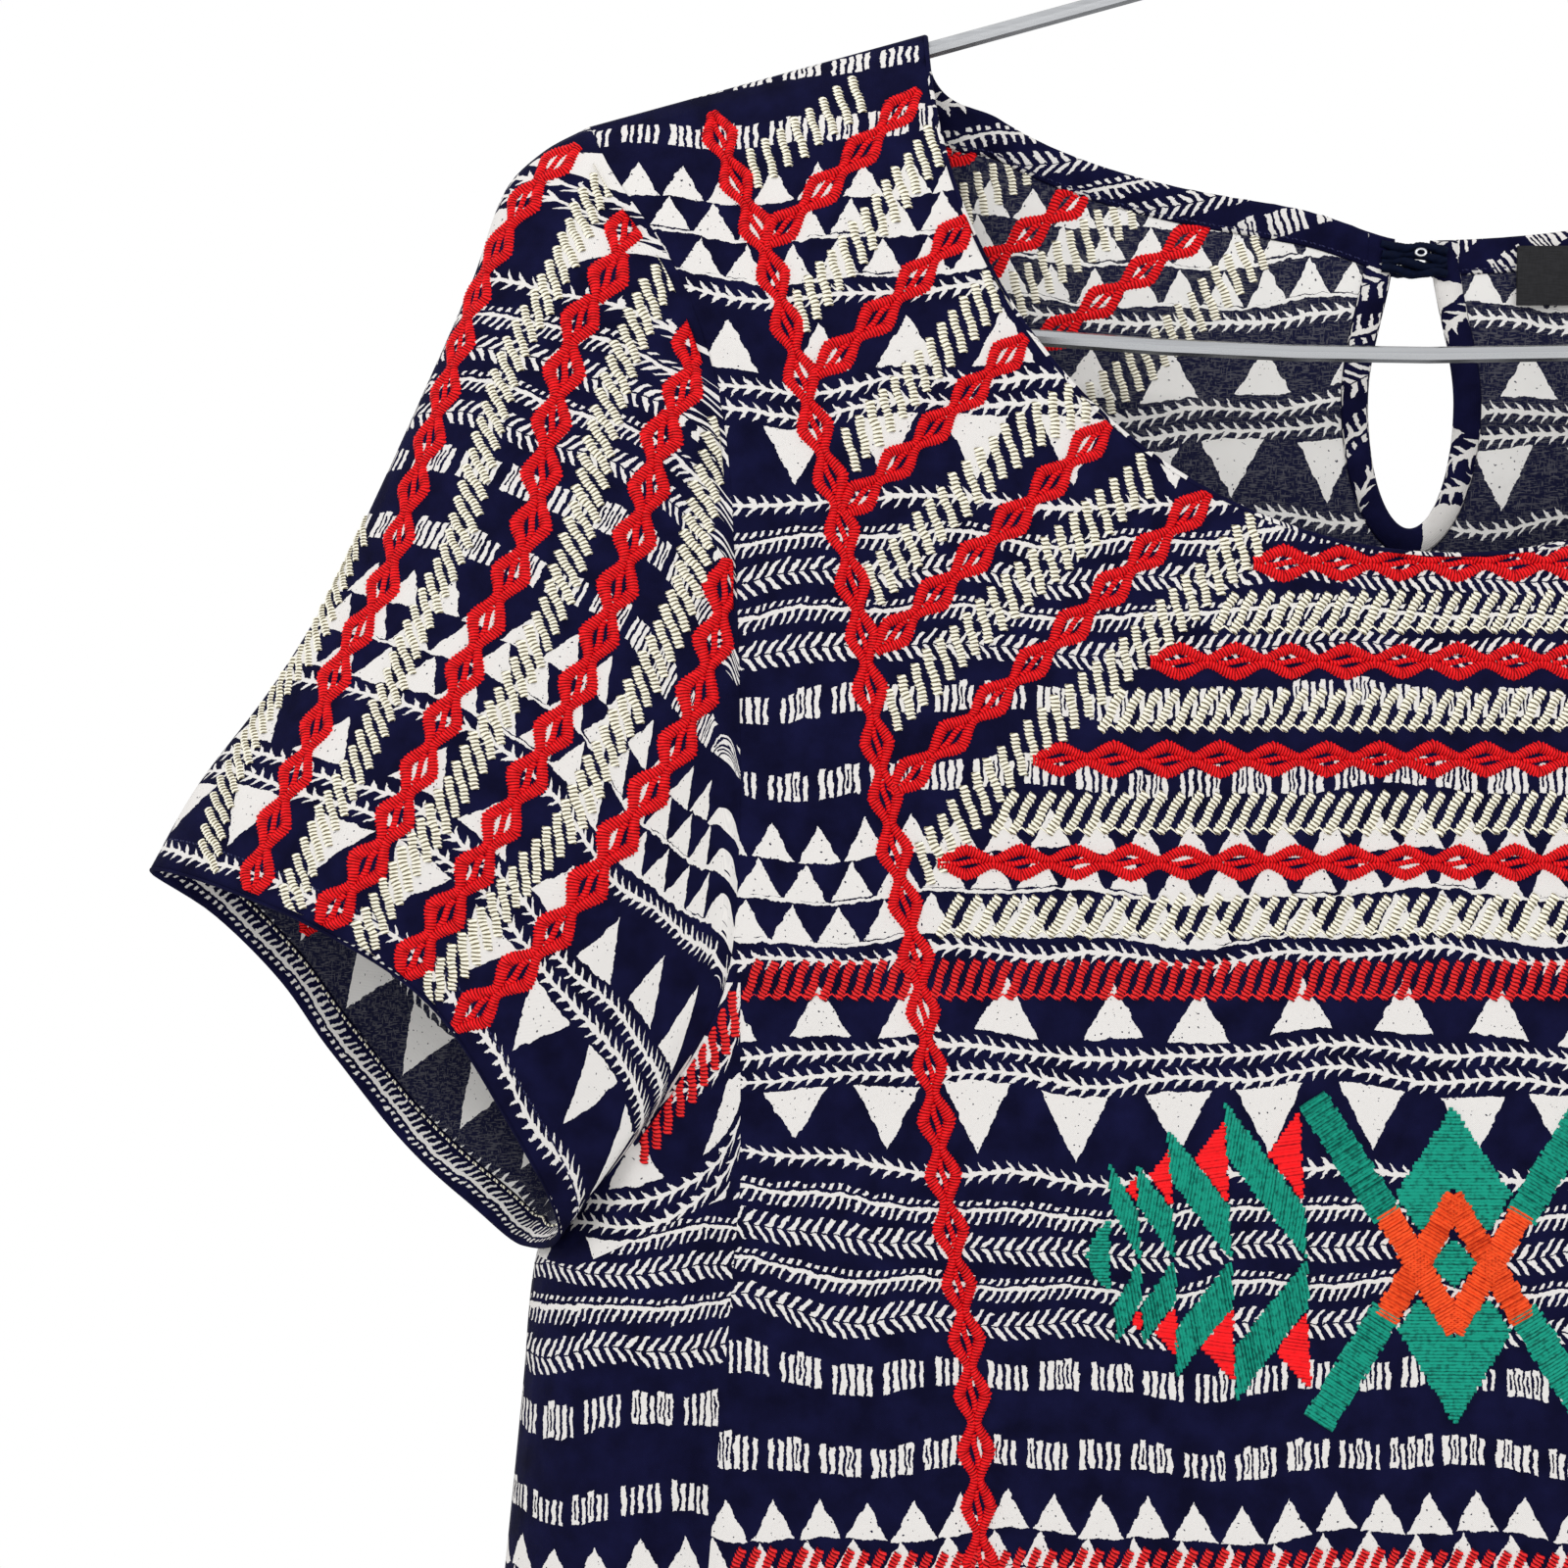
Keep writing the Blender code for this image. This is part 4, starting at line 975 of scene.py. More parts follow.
def printed_cloth(name, wrong_side=False, beside_fold=False):
    made, tree, shader = new_material(name, roughness=0.86, specular=0.06)
    mask = Print(tree, beside_fold).mask()
    threads = weave(tree)
    crinkle = object_noise(tree, 130.0, detail=3.0)
    if wrong_side:
        upright = object_noise(tree, 3000.0, detail=1.0, stretch=(1.0, 1.0, 0.2))
        level = object_noise(tree, 3000.0, detail=1.0, stretch=(0.16, 1.0, 1.0))
        pale = ((level.max(upright - 0.05) - 0.52) * 0.7).max(0.0).min(0.08)
        ivory = mix(tree, threads, srgb(216, 214, 212), srgb(236, 234, 230))
        colour = mix(tree, mask.max(pale), srgb(21, 23, 48), ivory)
    else:
        navy = mix(tree, (crinkle - 0.3) * 2.0, srgb(7, 7, 33), srgb(17, 18, 54))
        ivory = mix(tree, threads, srgb(206, 203, 201), srgb(226, 223, 219))
        colour = mix(tree, mask, navy, ivory)
    tree.links.new(colour, shader.inputs["Base Color"])
    bump(tree, shader, threads * 0.12 + crinkle, distance=0.9 * MM, strength=0.5)
    return made


def thread(name, dark, light, depth=1.25, lean=0.3, count=1.0, fleck=1.1):
    """Satin stitch. The cloth UV counts its threads along each band, and they lean across it. Each thread
    gets a painted highlight on its crest and painted shade in the grooves between threads, with random
    flecks of tone.
    """
    made, tree, shader = new_material(name, roughness=0.45, specular=0.10)
    _, u, v = cloth_uv(tree, 1.0)
    tone = object_noise(tree, 900.0)
    ridge = (((u * count + v * lean).fract() - 0.5) * math.pi).cos()
    # Painted light by the ridge: lit crests, painted shade in the grooves; depth sets the contrast of this
    # painted shade, fleck adds random tone.
    painted_light_and_fleck = (ridge * depth + (tone - 0.5) * fleck - depth * 0.62 + 0.6).clamp()
    tree.links.new(mix(tree, painted_light_and_fleck, dark, light), shader.inputs["Base Color"])
    fibre = object_noise(tree, 2600.0, detail=1.0)
    bump(tree, shader, ridge + fibre * 0.3, distance=0.25 * MM, strength=0.9)
    return made


def steel(name):
    """Drawn wire: a painted highlight along its middle and painted shade towards its upper and lower edges,
    set by which way the surface faces, and fine drawing lines.
    """
    made, tree, shader = new_material(name, roughness=0.3)
    shader.inputs["Metallic"].default_value = 0.75
    place = tree.nodes.new("ShaderNodeNewGeometry")
    up = numbers(tree, place.outputs["Normal"])[2]
    # Painted highlight just below the wire's middle and painted shade at its top and bottom, standing in
    # for reflections; the tone adds the drawing lines.
    painted_highlight = ((up + 0.15) * 3.4).abs().invert().max(0.0)
    painted_edge_shade = (up.abs() * -0.42 + 0.55).max(0.0)
    lines = object_noise(tree, 1500.0, stretch=(0.01, 1.0, 1.0))
    tone = (painted_edge_shade + painted_highlight * 0.6 + (lines - 0.5) * 0.15).clamp()
    tree.links.new(mix(tree, tone, srgb(70, 73, 78), srgb(250, 252, 255)), shader.inputs["Base Color"])
    tree.links.new((lines * 0.2 + 0.16).socket, shader.inputs["Roughness"])
    bump(tree, shader, lines, distance=0.1 * MM, strength=0.3)
    return made


def woven_label(name):
    made, tree, shader = new_material(name, roughness=0.75, specular=0.2)
    across = object_noise(tree, 2600.0, detail=1.0, stretch=(0.15, 1.0, 1.0))
    upright = object_noise(tree, 2600.0, detail=1.0, stretch=(1.0, 1.0, 0.15))
    ribs = across * 0.6 + upright * 0.4
    tree.links.new(mix(tree, ribs, srgb(10, 10, 11), srgb(46, 46, 49)), shader.inputs["Base Color"])
    bump(tree, shader, ribs, distance=0.3 * MM, strength=0.8)
    return made


def plain_dark(name, dark, light, roughness, scale, specular=0.4):
    """Small dark things: a button, a cord."""
    made, tree, shader = new_material(name, roughness, specular)
    tone = object_noise(tree, scale, detail=3.0)
    tree.links.new(mix(tree, tone, dark, light), shader.inputs["Base Color"])
    tree.links.new((tone * 0.25 + (roughness - 0.1)).socket, shader.inputs["Roughness"])
    bump(tree, shader, tone, distance=0.2 * MM, strength=0.4)
    return made


CLOTH_RIGHT = printed_cloth("printed_rayon")
CLOTH_WRONG = printed_cloth("printed_rayon_wrong_side", wrong_side=True)
CLOTH_FRONT_RIGHT = printed_cloth("printed_rayon_front", beside_fold=True)
CLOTH_FRONT_WRONG = printed_cloth("printed_rayon_front_wrong_side", wrong_side=True, beside_fold=True)
# For each thread the first colour is the painted shade in the grooves between threads, the second the
# colour of their lit crests.
RED = thread("red_thread", srgb(124, 0, 8), srgb(246, 26, 32), depth=1.35, lean=0.25, count=1.2)
RED_BARS = thread("red_bar_thread", srgb(104, 0, 12), srgb(240, 44, 46), depth=1.9)
CREAM = thread("cream_thread", srgb(122, 112, 84), srgb(252, 248, 230), depth=1.9)
GREEN = thread("green_thread", srgb(0, 78, 68), srgb(18, 150, 126), depth=1.2, lean=0.35, fleck=3.2)
ORANGE = thread("orange_thread", srgb(182, 44, 14), srgb(250, 88, 38), depth=1.2, lean=0.35, fleck=2.2)
NAVY_THREAD = thread("navy_thread", srgb(10, 10, 34), srgb(44, 46, 86))
ROULEAU = plain_dark("navy_rouleau", srgb(3, 4, 16), srgb(12, 22, 48), roughness=0.75, scale=900.0,
                     specular=0.06)

PROFILE = np.array([(-1.0, 0.0), (-0.35, 0.92), (0.35, 0.92), (1.0, 0.0)])
LOW_PROFILE = np.array([(-1.0, 0.3), (0.0, 1.0), (1.0, 0.3)])
Template = namedtuple("Template", "points faces uvs")


def strip(centres, half_widths, heights, profile=PROFILE):
    """A raised band of stitches along the centres, two rings to a thread: (along, across, up)."""
    tangent = unit(np.gradient(centres, axis=0))
    across = np.stack([-tangent[:, 1], tangent[:, 0]], -1)
    threads = np.arange(len(centres)) / 2
    points, uvs = [], []
    for side, up in profile:
        flat = centres + across * (half_widths * side)[:, None]
        points.append(np.concatenate([flat, (up * heights)[:, None]], 1))
        uvs.append(np.stack([threads, np.full(len(threads), side)], -1))
    points = np.stack(points, 1).reshape(-1, 3)
    return Template(points, grid_faces(len(centres), len(profile)), np.stack(uvs, 1).reshape(-1, 2))


def joined(parts):
    points, faces, uvs, start = [], [], [], 0
    for part in parts:
        points.append(part.points)
        faces.append(part.faces + start)
        uvs.append(part.uvs)
        start += len(part.points)
    return Template(np.concatenate(points), np.concatenate(faces), np.concatenate(uvs))


def ridged(values, depth):
    """Every second ring pulled in, as the threads do."""
    return values * (1 - depth * (np.arange(len(values)) % 2 == 0))


# One eye of the chain: its share of overlap, and in millimetres how far its strands lie from its middle and
# part, their half widths and how much they swell, and their heights
EYE_OVERLAP = 1.06
STRAND_PLACE, STRAND_PARTING = 0.45, 2.6
STRAND_HALF, STRAND_SWELL = 1.16, 0.44
STRAND_HEIGHTS = (1.2, 1.05)
MIDDLE_HALF, MIDDLE_HEIGHT = 0.72, 0.6


def chain_link(length, rings):
    """One eye of the chain: two satin strands that part and meet again, and a thinner one between."""
    t = np.linspace(0, 1, rings)
    swell = 0.6 * np.sin(math.pi * t) ** 1.8 + 0.4 * (1 - np.abs(2 * t - 1)) ** 1.4
    parts = []
    for sign, height in zip((1, -1), STRAND_HEIGHTS):
        offset = sign * (STRAND_PLACE + STRAND_PARTING * swell) * MM
        centres = np.stack([(t - 0.5) * length * EYE_OVERLAP, offset], -1)
        widths = ridged(STRAND_HALF + STRAND_SWELL * swell, depth=0.27) * MM
        parts.append(strip(centres, widths, ridged(np.full(rings, height), depth=0.28) * MM))
    count = rings // 2
    t = np.linspace(-0.5, 0.5, count)
    centres = np.stack([t * length * 0.62, 0.4 * MM * np.sin(t * 5)], -1)
    widths = ridged(np.full(count, MIDDLE_HALF), depth=0.2) * MM
    parts.append(strip(centres, widths, ridged(np.full(count, MIDDLE_HEIGHT), depth=0.2) * MM))
    return joined(parts)


BAR_THREAD_LEAN = 0.32


def satin_bar(length, width, angle, rings, height=0.85):
    """One slanted bar of stitches laid side by side along it, each a little longer or shorter."""
    t = np.linspace(-0.5, 0.5, rings)
    turn = np.array([[math.cos(angle), math.sin(angle)], [-math.sin(angle), math.cos(angle)]])
    uneven = 0.1 * np.sin(np.arange(rings) * 2.3 + 1.0)
    half = ridged(width / 2 * (1.1 + uneven), depth=0.34)
    made = strip(np.stack([t * length, 0.07 * width * np.sin(t * 11)], -1), half,
                 ridged(np.full(rings, height), depth=0.45) * MM)
    made.points[:, 0] += made.points[:, 1] * BAR_THREAD_LEAN
    made.points[:, :2] = made.points[:, :2] @ turn
    return made


def catmull(points, count=240):
    points = np.asarray(points, float)
    steps = lengths(points)
    at = np.linspace(0, steps[-1], count)
    return np.array([[interpolate(list(steps), list(points[:, k]), a) for k in range(2)] for a in at])


def stations(surface, path, pitch):
    """Even steps along a path on a surface: middles, directions and the step's length."""
    path = catmull(path) if len(path) > 2 else np.linspace(path[0], path[1], 240)
    points, _ = surface.at(path[:, 0], path[:, 1])
    along = lengths(points)
    count = max(1, round(along[-1] / pitch))
    step = along[-1] / count
    middles = (np.arange(count) + 0.5) * step
    ahead, _ = surface.at(*sample(middles + step / 2, along, path).T)
    behind, _ = surface.at(*sample(middles - step / 2, along, path).T)
    return sample(middles, along, path), unit(ahead - behind), step


def lay(surface, where, direction, template, mirror=1, scales=None, flat=1.0):
    """Copies of the template laid on the surface: arrays of points, one block for each place."""
    p, q = where[:, 0], where[:, 1]
    e = surface.step
    _, normal = surface.at(p, q)
    dp = (surface.at(p + e, q)[0] - surface.at(p - e, q)[0]) / (2 * e)
    dq = (surface.at(p, q + e)[0] - surface.at(p, q - e)[0]) / (2 * e)
    across = unit(np.cross(normal, direction)) * mirror
    local = np.repeat(template.points[None], len(where), 0)
    if scales is not None:
        local = local * scales[:, None, :]
    move = local[..., :1] * direction[:, None] + local[..., 1:2] * across[:, None]
    g11, g12, g22 = (dp * dp).sum(-1), (dp * dq).sum(-1), (dq * dq).sum(-1)
    det = g11 * g22 - g12**2
    b1 = (move * dp[:, None]).sum(-1)
    b2 = (move * dq[:, None]).sum(-1)
    step_p = (g22[:, None] * b1 - g12[:, None] * b2) / det[:, None]
    step_q = (g11[:, None] * b2 - g12[:, None] * b1) / det[:, None]
    places = surface.clip((p[:, None] + step_p).ravel(), (q[:, None] + step_q).ravel())
    points, normals = surface.at(*places)
    points = points + normals * (local[..., 2].reshape(-1, 1) * flat + CLOTH / 2)
    return points.reshape(len(where), len(template.points), 3)


class Stitches:
    """Collects the stitches of one colour on one panel into one mesh."""

    def __init__(self, name, material):
        self.name, self.material = name, material
        self.points, self.faces, self.uvs, self.count = [], [], [], 0

    def add(self, blocks, template):
        for_each = len(template.points)
        offsets = self.count + np.arange(len(blocks)) * for_each
        self.points.append(blocks.reshape(-1, 3))
        self.faces.append((template.faces[None] + offsets[:, None, None]).reshape(-1, 4))
        self.uvs.append(np.tile(template.uvs, (len(blocks), 1)))
        self.count += len(blocks) * for_each

    def build(self, node):
        obj = make_mesh(self.name, np.concatenate(self.points), np.concatenate(self.faces),
                        np.concatenate(self.uvs), [self.material])
        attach(obj, "root")
        return obj


RANDOM = np.random.default_rng(7)
CHAIN_PITCH = 13.0 * MM
# Rows of bars, in millimetres and degrees. A diagonal row's lean is its angle in the picture.
Bar = namedtuple("Bar", "length width pitch lean")
LEVEL_BAR = Bar(11.2, 2.3, 4.4, 62)
DIAGONAL_BAR = Bar(11.0, 2.2, 4.3, 105)
BACK_BAR = Bar(11.0, 2.2, 4.4, 105)
SLEEVE_BAR = Bar(10.6, 2.2, 4.1, 47)
SLEEVE_BACK_BAR = Bar(10.6, 2.2, 4.6, 47)
RED_BAR = Bar(9.8, 2.2, 3.7, 70)
SIDE_BAR = Bar(10.6, 2.1, 4.7, 94)
# Rings along an eye or a bar, where it is seen from near, from the back, and through the cloth
EYE_RINGS, BACK_EYE_RINGS, INSIDE_EYE_RINGS = 35, 21, 29
BAR_RINGS, BACK_BAR_RINGS, INSIDE_BAR_RINGS = 23, 19, 25


def chain(stitches, surface, path, mirror=1, rings=EYE_RINGS, flat=1.0, wide=1.0):
    where, direction, step = stations(surface, path, CHAIN_PITCH)
    template = chain_link(step, rings)
    scales = 1 + 0.05 * RANDOM.uniform(-1, 1, (len(where), 3)) * np.array([0, 1, 1])
    scales[:, 1] *= wide
    stitches.add(lay(surface, where, direction, template, mirror, scales, flat), template)


def bar_row(stitches, surface, path, bar, angle, mirror=1, rings=BAR_RINGS, flat=1.0, foot=0):
    """A row of slanted bars. Foot is the side along which the thread runs on from bar to bar."""
    where, direction, step = stations(surface, path, bar.pitch * MM)
    length = bar.length * MM
    template = satin_bar(length, bar.width * MM, math.radians(angle), rings)
    scales = 1 + 0.07 * RANDOM.uniform(-1, 1, (len(where), 3)) * np.array([1, 1, 0.5])
    stitches.add(lay(surface, where, direction, template, mirror, scales, flat), template)
    if foot:
        reach = math.sin(math.radians(angle)) * length / 2 * foot
        slant = math.cos(math.radians(angle)) * length / 2 * foot
        line = np.array([(-0.5, 0.0), (0.05, 0.35), (0.5, 0.0)]) * step + [slant + step / 2, reach]
        half = np.full(3, 0.24 * MM)
        template = strip(line, half, half, LOW_PROFILE)
        stitches.add(lay(surface, where, direction, template, mirror, None, flat), template)


def fill(stitches, surface, centre, polygon, angle, pitch=0.8 * MM, height=0.85 * MM):
    """Satin stitch over a polygon: threads side by side, each from edge to edge."""
    turn = math.radians(angle)
    along, across = np.array([math.cos(turn), math.sin(turn)]), np.array([-math.sin(turn), math.cos(turn)])
    corners = np.asarray(polygon, float) * MM
    s, c = corners @ along, corners @ across
    rise = np.array([0.05, 0.85, 1.0, 0.75, 1.0, 0.85, 0.05]) * height
    for level in np.arange(c.min() + pitch * 0.4, c.max(), pitch):
        cuts = []
        for k in range(len(s)):
            s0, c0, s1, c1 = s[k - 1], c[k - 1], s[k], c[k]
            if (c0 > level) != (c1 > level):
                cuts.append(s0 + (s1 - s0) * (level - c0) / (c1 - c0))
        cuts.sort()
        for a, b in zip(cuts[::2], cuts[1::2]):
            if b - a < 0.5 * MM:
                continue
            a, b = a + RANDOM.uniform(-0.55, 0.3) * MM, b + RANDOM.uniform(-0.3, 0.55) * MM
            dent = RANDOM.uniform(0.38, 0.62)
            t = np.array([0.0, 0.1, dent - 0.09, dent, dent + 0.09, 0.9, 1.0])
            line = np.stack([a + (b - a) * t, np.full(7, level)], -1)
            template = strip(line, np.full(7, pitch * 0.56), rise, LOW_PROFILE)
            template.uvs[:, 0] = RANDOM.uniform(0.22, 0.5)
            flat = template.points[:, :1] * along + template.points[:, 1:2] * across + centre
            points, normals = surface.at(flat[:, 0], flat[:, 1])
            block = points + normals * (template.points[:, 2:] + CLOTH / 2)
            stitches.add(block[None], template)


# Rows of embroidery on the front, by the picture's pixels. The right half mirrors the left.
LONG_CHAIN = [(728, 118), (745, 170), (775, 240), (800, 320), (830, 430), (850, 500), (880, 650),
              (895, 760), (915, 880), (935, 980), (945, 1060), (965, 1220), (990, 1400), (1000, 1590),
              (1008, 1900), (1016, 2400), (1022, 3000), (1026, 3700)]
YOKE_CHAINS = [
    [(778, 252), (862, 172), (936, 94)],
    [(834, 382), (918, 302), (990, 222)],
    [(858, 525), (954, 436), (1045, 345)],
    [(894, 664), (1017, 546), (1130, 434)],
    [(910, 808), (1080, 652), (1232, 504)],
]
YOKE_BARS = [
    [(762, 178), (820, 138), (882, 92)],
    [(812, 325), (882, 240), (958, 143)],
    [(862, 466), (945, 375), (1030, 278)],
    [(886, 603), (1045, 444), (1148, 388)],
    [(905, 731), (1040, 600), (1175, 480)],
    [(938, 888), (1027, 782), (1155, 667), (1286, 540)],
]
LEVEL_CHAINS = [(1280, 575), (1175, 675), (1055, 775), (958, 880)]
LEVEL_BARS = [(1240, 625), (1125, 725), (1015, 830), (960, 935)]
RED_BANDS = [(760, 1000), (742, 1600)]
SIDE_BAND = [(754, 1026), (716, 1088), (652, 1172)]
SLEEVE_CHAINS = [
    [(588, 150), (525, 215), (492, 300), (458, 400), (420, 500), (390, 590), (352, 680),
     (308, 790), (255, 912)],
    [(655, 208), (625, 280), (588, 350), (562, 440), (537, 548), (490, 650), (432, 780),
     (380, 870), (324, 959)],
    [(712, 322), (700, 380), (680, 440), (652, 540), (600, 680), (540, 800), (470, 905), (403, 1003)],
    [(747, 572), (735, 640), (715, 705), (690, 765), (648, 835), (598, 905), (540, 975), (462, 1048)],
]
SLEEVE_BARS = [
    [(376, 530), (352, 582), (318, 652), (277, 724), (246, 780), (224, 832), (208, 882)],
    [(618, 172), (572, 262), (522, 362), (490, 462), (466, 560), (427, 650), (386, 740),
     (345, 820), (288, 930)],
    [(692, 262), (650, 345), (618, 440), (590, 540), (560, 620), (520, 705), (478, 780),
     (430, 860), (364, 978)],
    [(745, 440), (722, 515), (700, 590), (663, 680), (625, 760), (580, 835), (528, 905),
     (478, 965), (432, 1022)],
]

# Rows on the back, in millimetres over x and z
BACK_CHAINS = [
    [(-162, -177), (-136, -158), (-111, -138.5)],
    [(-155, -206), (-107.3, -170), (-83.4, -152)],
    [(-150, -232), (-94.7, -191.3), (-53, -161.3)],
]
BACK_BARS = [
    [(-158, -191), (-126, -164), (-98, -145)],
    [(-152, -219), (-103, -180), (-71, -156)],
    [(-140, -243), (-78.3, -203.9), (-38, -166)],
]

# The motif on the centre front, in millimetres from its middle. The left half, then mirrored.
MOTIF_AT = (-2.4 * MM, -418.4 * MM)
GREEN_MIDDLE = [
    ([(0, 37), (13.5, 16.4), (8.1, 7.3), (0, 18), (-8.1, 7.3), (-13.5, 16.4)], 0),
    ([(-8.1, -8.4), (0, -17.8), (8.1, -8.4), (13.2, -15.8), (0, -38.3), (-13.2, -15.8)], 0),
    ([(0, 5.8), (5.5, 0), (0, -5.8), (-5.5, 0)], 0),
]
GREEN_LEFT = [
    ([(-53.0, 35.5), (-34.9, 11.6), (-34.9, 0), (-53.0, 23)], 80),
    ([(-66.9, 29.5), (-52.8, 12), (-52.8, 0), (-66.9, 18.5)], 80),
    ([(-74.4, 21.2), (-66.2, 10.5), (-66.2, 0), (-74.4, 12)], 80),
    ([(-80.9, 21.2), (-74.4, 10.5), (-74.4, 0), (-80.9, 12)], 80),
]
GREEN_TIP = [(-81.6, 10.2), (-84.6, 7.4), (-87.3, 1.7), (-84.6, -4.0), (-81.6, -6.8)]
RED_LEFT = [
    [(-35.2, 13), (-35.2, 33), (-43, 23.5)],
    [(-53, 12.5), (-53, 31.2), (-60.7, 22.3)],
    [(-66.4, 11.7), (-66.4, 24.9), (-71.5, 18.4)],
    [(-74.6, 12.4), (-74.6, 18.7), (-77, 15.6)],
]
ORANGE_BANDS = [((-16.2, 12.4), (0.6, -15.8)), ((-16.2, -13.0), (0.6, 15.8))]
GREEN_ARMS = [((-16, 11.5), (-33.4, 38.8)), ((-16, -11.5), (-32.5, -37.5))]
ORANGE_BAND_WIDTH, GREEN_ARM_WIDTH = 5.8, 7.2


def band(start, end, width):
    """A straight band's corners, and the angle at which its threads run across it."""
    a, b = np.array(start, float), np.array(end, float)
    way = (b - a) / np.linalg.norm(b - a)
    half = np.array([-way[1], way[0]]) * width / 2
    return [a + half, b + half, b - half, a - half], math.degrees(math.atan2(way[0], -way[1]))


def on_surface(surface, pixels):
    return [surface.under(px, py) for px, py in pixels]


def in_millimetres(row):
    return [(x * MM, z * MM) for x, z in row]


def halves(path):
    """A path on the left half and its mirror image, each with its sign."""
    return (path, 1), ([(-x, z) for x, z in path], -1)


def slant(path, lean):
    """The angle between a row and its bars, which stand at the angle lean in the picture."""
    (x0, z0), (x1, z1) = path[0], path[-1]
    return lean - math.degrees(math.atan2(z1 - z0, x1 - x0))


def embroider_front():
    body = Body(FRONT)
    red, cream = Stitches("front_red_stitches", RED), Stitches("front_cream_stitches", CREAM)
    red_bars = Stitches("front_red_bar_stitches", RED_BARS)
    for row in [LONG_CHAIN] + YOKE_CHAINS:
        for path, side in halves(on_surface(body, row)):
            chain(red, body, path, side)
    for row in YOKE_BARS:
        left_half = on_surface(body, row)
        for path, side in halves(left_half):
            bar_row(cream, body, path, DIAGONAL_BAR, slant(left_half, DIAGONAL_BAR.lean), side)
    for px, py in LEVEL_CHAINS:
        x, z = body.under(px, py)
        chain(red, body, [(x, z), (-x, z)])
    for px, py in LEVEL_BARS:
        x, z = body.under(px, py)
        bar_row(cream, body, [(x, z), (-x, z)], LEVEL_BAR, LEVEL_BAR.lean, foot=-1)
    for px, py in RED_BANDS:
        x, z = body.under(px, py)
        bar_row(red_bars, body, [(x, z), (-x, z)], RED_BAR, RED_BAR.lean, foot=-1)
    left_half = on_surface(body, SIDE_BAND)
    for path, side in halves(left_half):
        bar_row(red_bars, body, path, SIDE_BAR, slant(left_half, SIDE_BAR.lean), side)
    return [part.build("front") for part in (red, red_bars, cream)] + embroider_motif(body)


def mirrored(polygon, in_x=1, in_z=1):
    return [(x * in_x, z * in_z) for x, z in polygon]


def leant(polygon, in_x, in_z):
    """A mirrored shape of the side groups, which lean a little and reach higher than they hang."""
    reach = 1.06 if in_z > 0 else 0.93
    return [(x - 0.035 * z * in_x, z * reach + 0.9) for x, z in mirrored(polygon, in_x, in_z)]


def embroider_motif(body):
    """A kilim-like figure of diamonds, bands and chevrons in satin stitch."""
    green, orange = Stitches("motif_green_stitches", GREEN), Stitches("motif_orange_stitches", ORANGE)
    red = Stitches("motif_red_stitches", RED)
    for polygon, angle in GREEN_MIDDLE:
        fill(green, body, MOTIF_AT, polygon, angle, height=0.7 * MM)
    for in_x in (1, -1):
        for in_z in (1, -1):
            for polygon, angle in GREEN_LEFT:
                fill(green, body, MOTIF_AT, leant(polygon, in_x, in_z), angle * in_x * in_z)
            for polygon in RED_LEFT:
                fill(red, body, MOTIF_AT, leant(polygon, in_x, in_z), 8 * in_x * in_z, height=0.7 * MM)
        fill(green, body, MOTIF_AT, mirrored(GREEN_TIP, in_x), 0)
        for start, end in GREEN_ARMS:
            corners, angle = band(start, end, GREEN_ARM_WIDTH)
            fill(green, body, MOTIF_AT, mirrored(corners, in_x), angle * in_x)
        for start, end in ORANGE_BANDS:
            corners, angle = band(start, end, ORANGE_BAND_WIDTH)
            fill(orange, body, MOTIF_AT, mirrored(corners, in_x), angle * in_x, height=1.2 * MM)
    return [part.build("front") for part in (green, orange, red)]


def embroider_back():
    eye, body, inner = Body(FRONT), Body(BACK), Inside(Body(BACK), 8.2 * MM)
    red, cream = Stitches("back_red_stitches", RED), Stitches("back_cream_stitches", CREAM)
    through_red = Stitches("back_red_inside_stitches", RED)
    through_cream = Stitches("back_cream_inside_stitches", CREAM)
    for path, side in halves(on_surface(eye, LONG_CHAIN)):
        chain(red, body, path, side, BACK_EYE_RINGS)
    for row in BACK_CHAINS:
        for path, side in halves(in_millimetres(row)):
            chain(red, body, path, -side, BACK_EYE_RINGS)
            chain(through_red, inner, path, side, INSIDE_EYE_RINGS, flat=0.6)
    for row in BACK_BARS:
        angle = slant(in_millimetres(row), BACK_BAR.lean)
        for path, side in halves(in_millimetres(row)):
            bar_row(cream, body, path, BACK_BAR, angle, -side, BACK_BAR_RINGS)
            bar_row(through_cream, inner, path, BACK_BAR, angle, side, INSIDE_BAR_RINGS, flat=0.55)
    return [part.build("back") for part in (red, cream, through_red, through_cream)]


def embroider_sleeve(sleeve, name, eye):
    red, cream = Stitches(f"{name}_red_stitches", RED), Stitches(f"{name}_cream_stitches", CREAM)
    for k, row in enumerate(SLEEVE_CHAINS):
        path = on_surface(eye, row)
        chain(red, sleeve, path, wide=1.2)
        if k:
            chain(red, sleeve, [(1 - t, s) for t, s in path], rings=BACK_EYE_RINGS)
        if k == 1:
            turn, end = 1 - path[-1][0], path[-1][1]
            path = [(turn, end - 0.17), (turn, end - 0.065)]
            chain(red, Inside(sleeve), path, rings=INSIDE_EYE_RINGS, flat=0.6)
    chain(red, sleeve, [(0.985, 0.02), (0.975, 0.985)], rings=INSIDE_EYE_RINGS)
    turn = -sleeve.sign
    for row in SLEEVE_BARS:
        path = on_surface(eye, row)
        bar_row(cream, sleeve, path, SLEEVE_BAR, SLEEVE_BAR.lean, turn)
        path = [(1 - t, s) for t, s in path]
        bar_row(cream, sleeve, path, SLEEVE_BACK_BAR, SLEEVE_BACK_BAR.lean, -turn, BACK_BAR_RINGS)
    return [red.build(name), cream.build(name)]


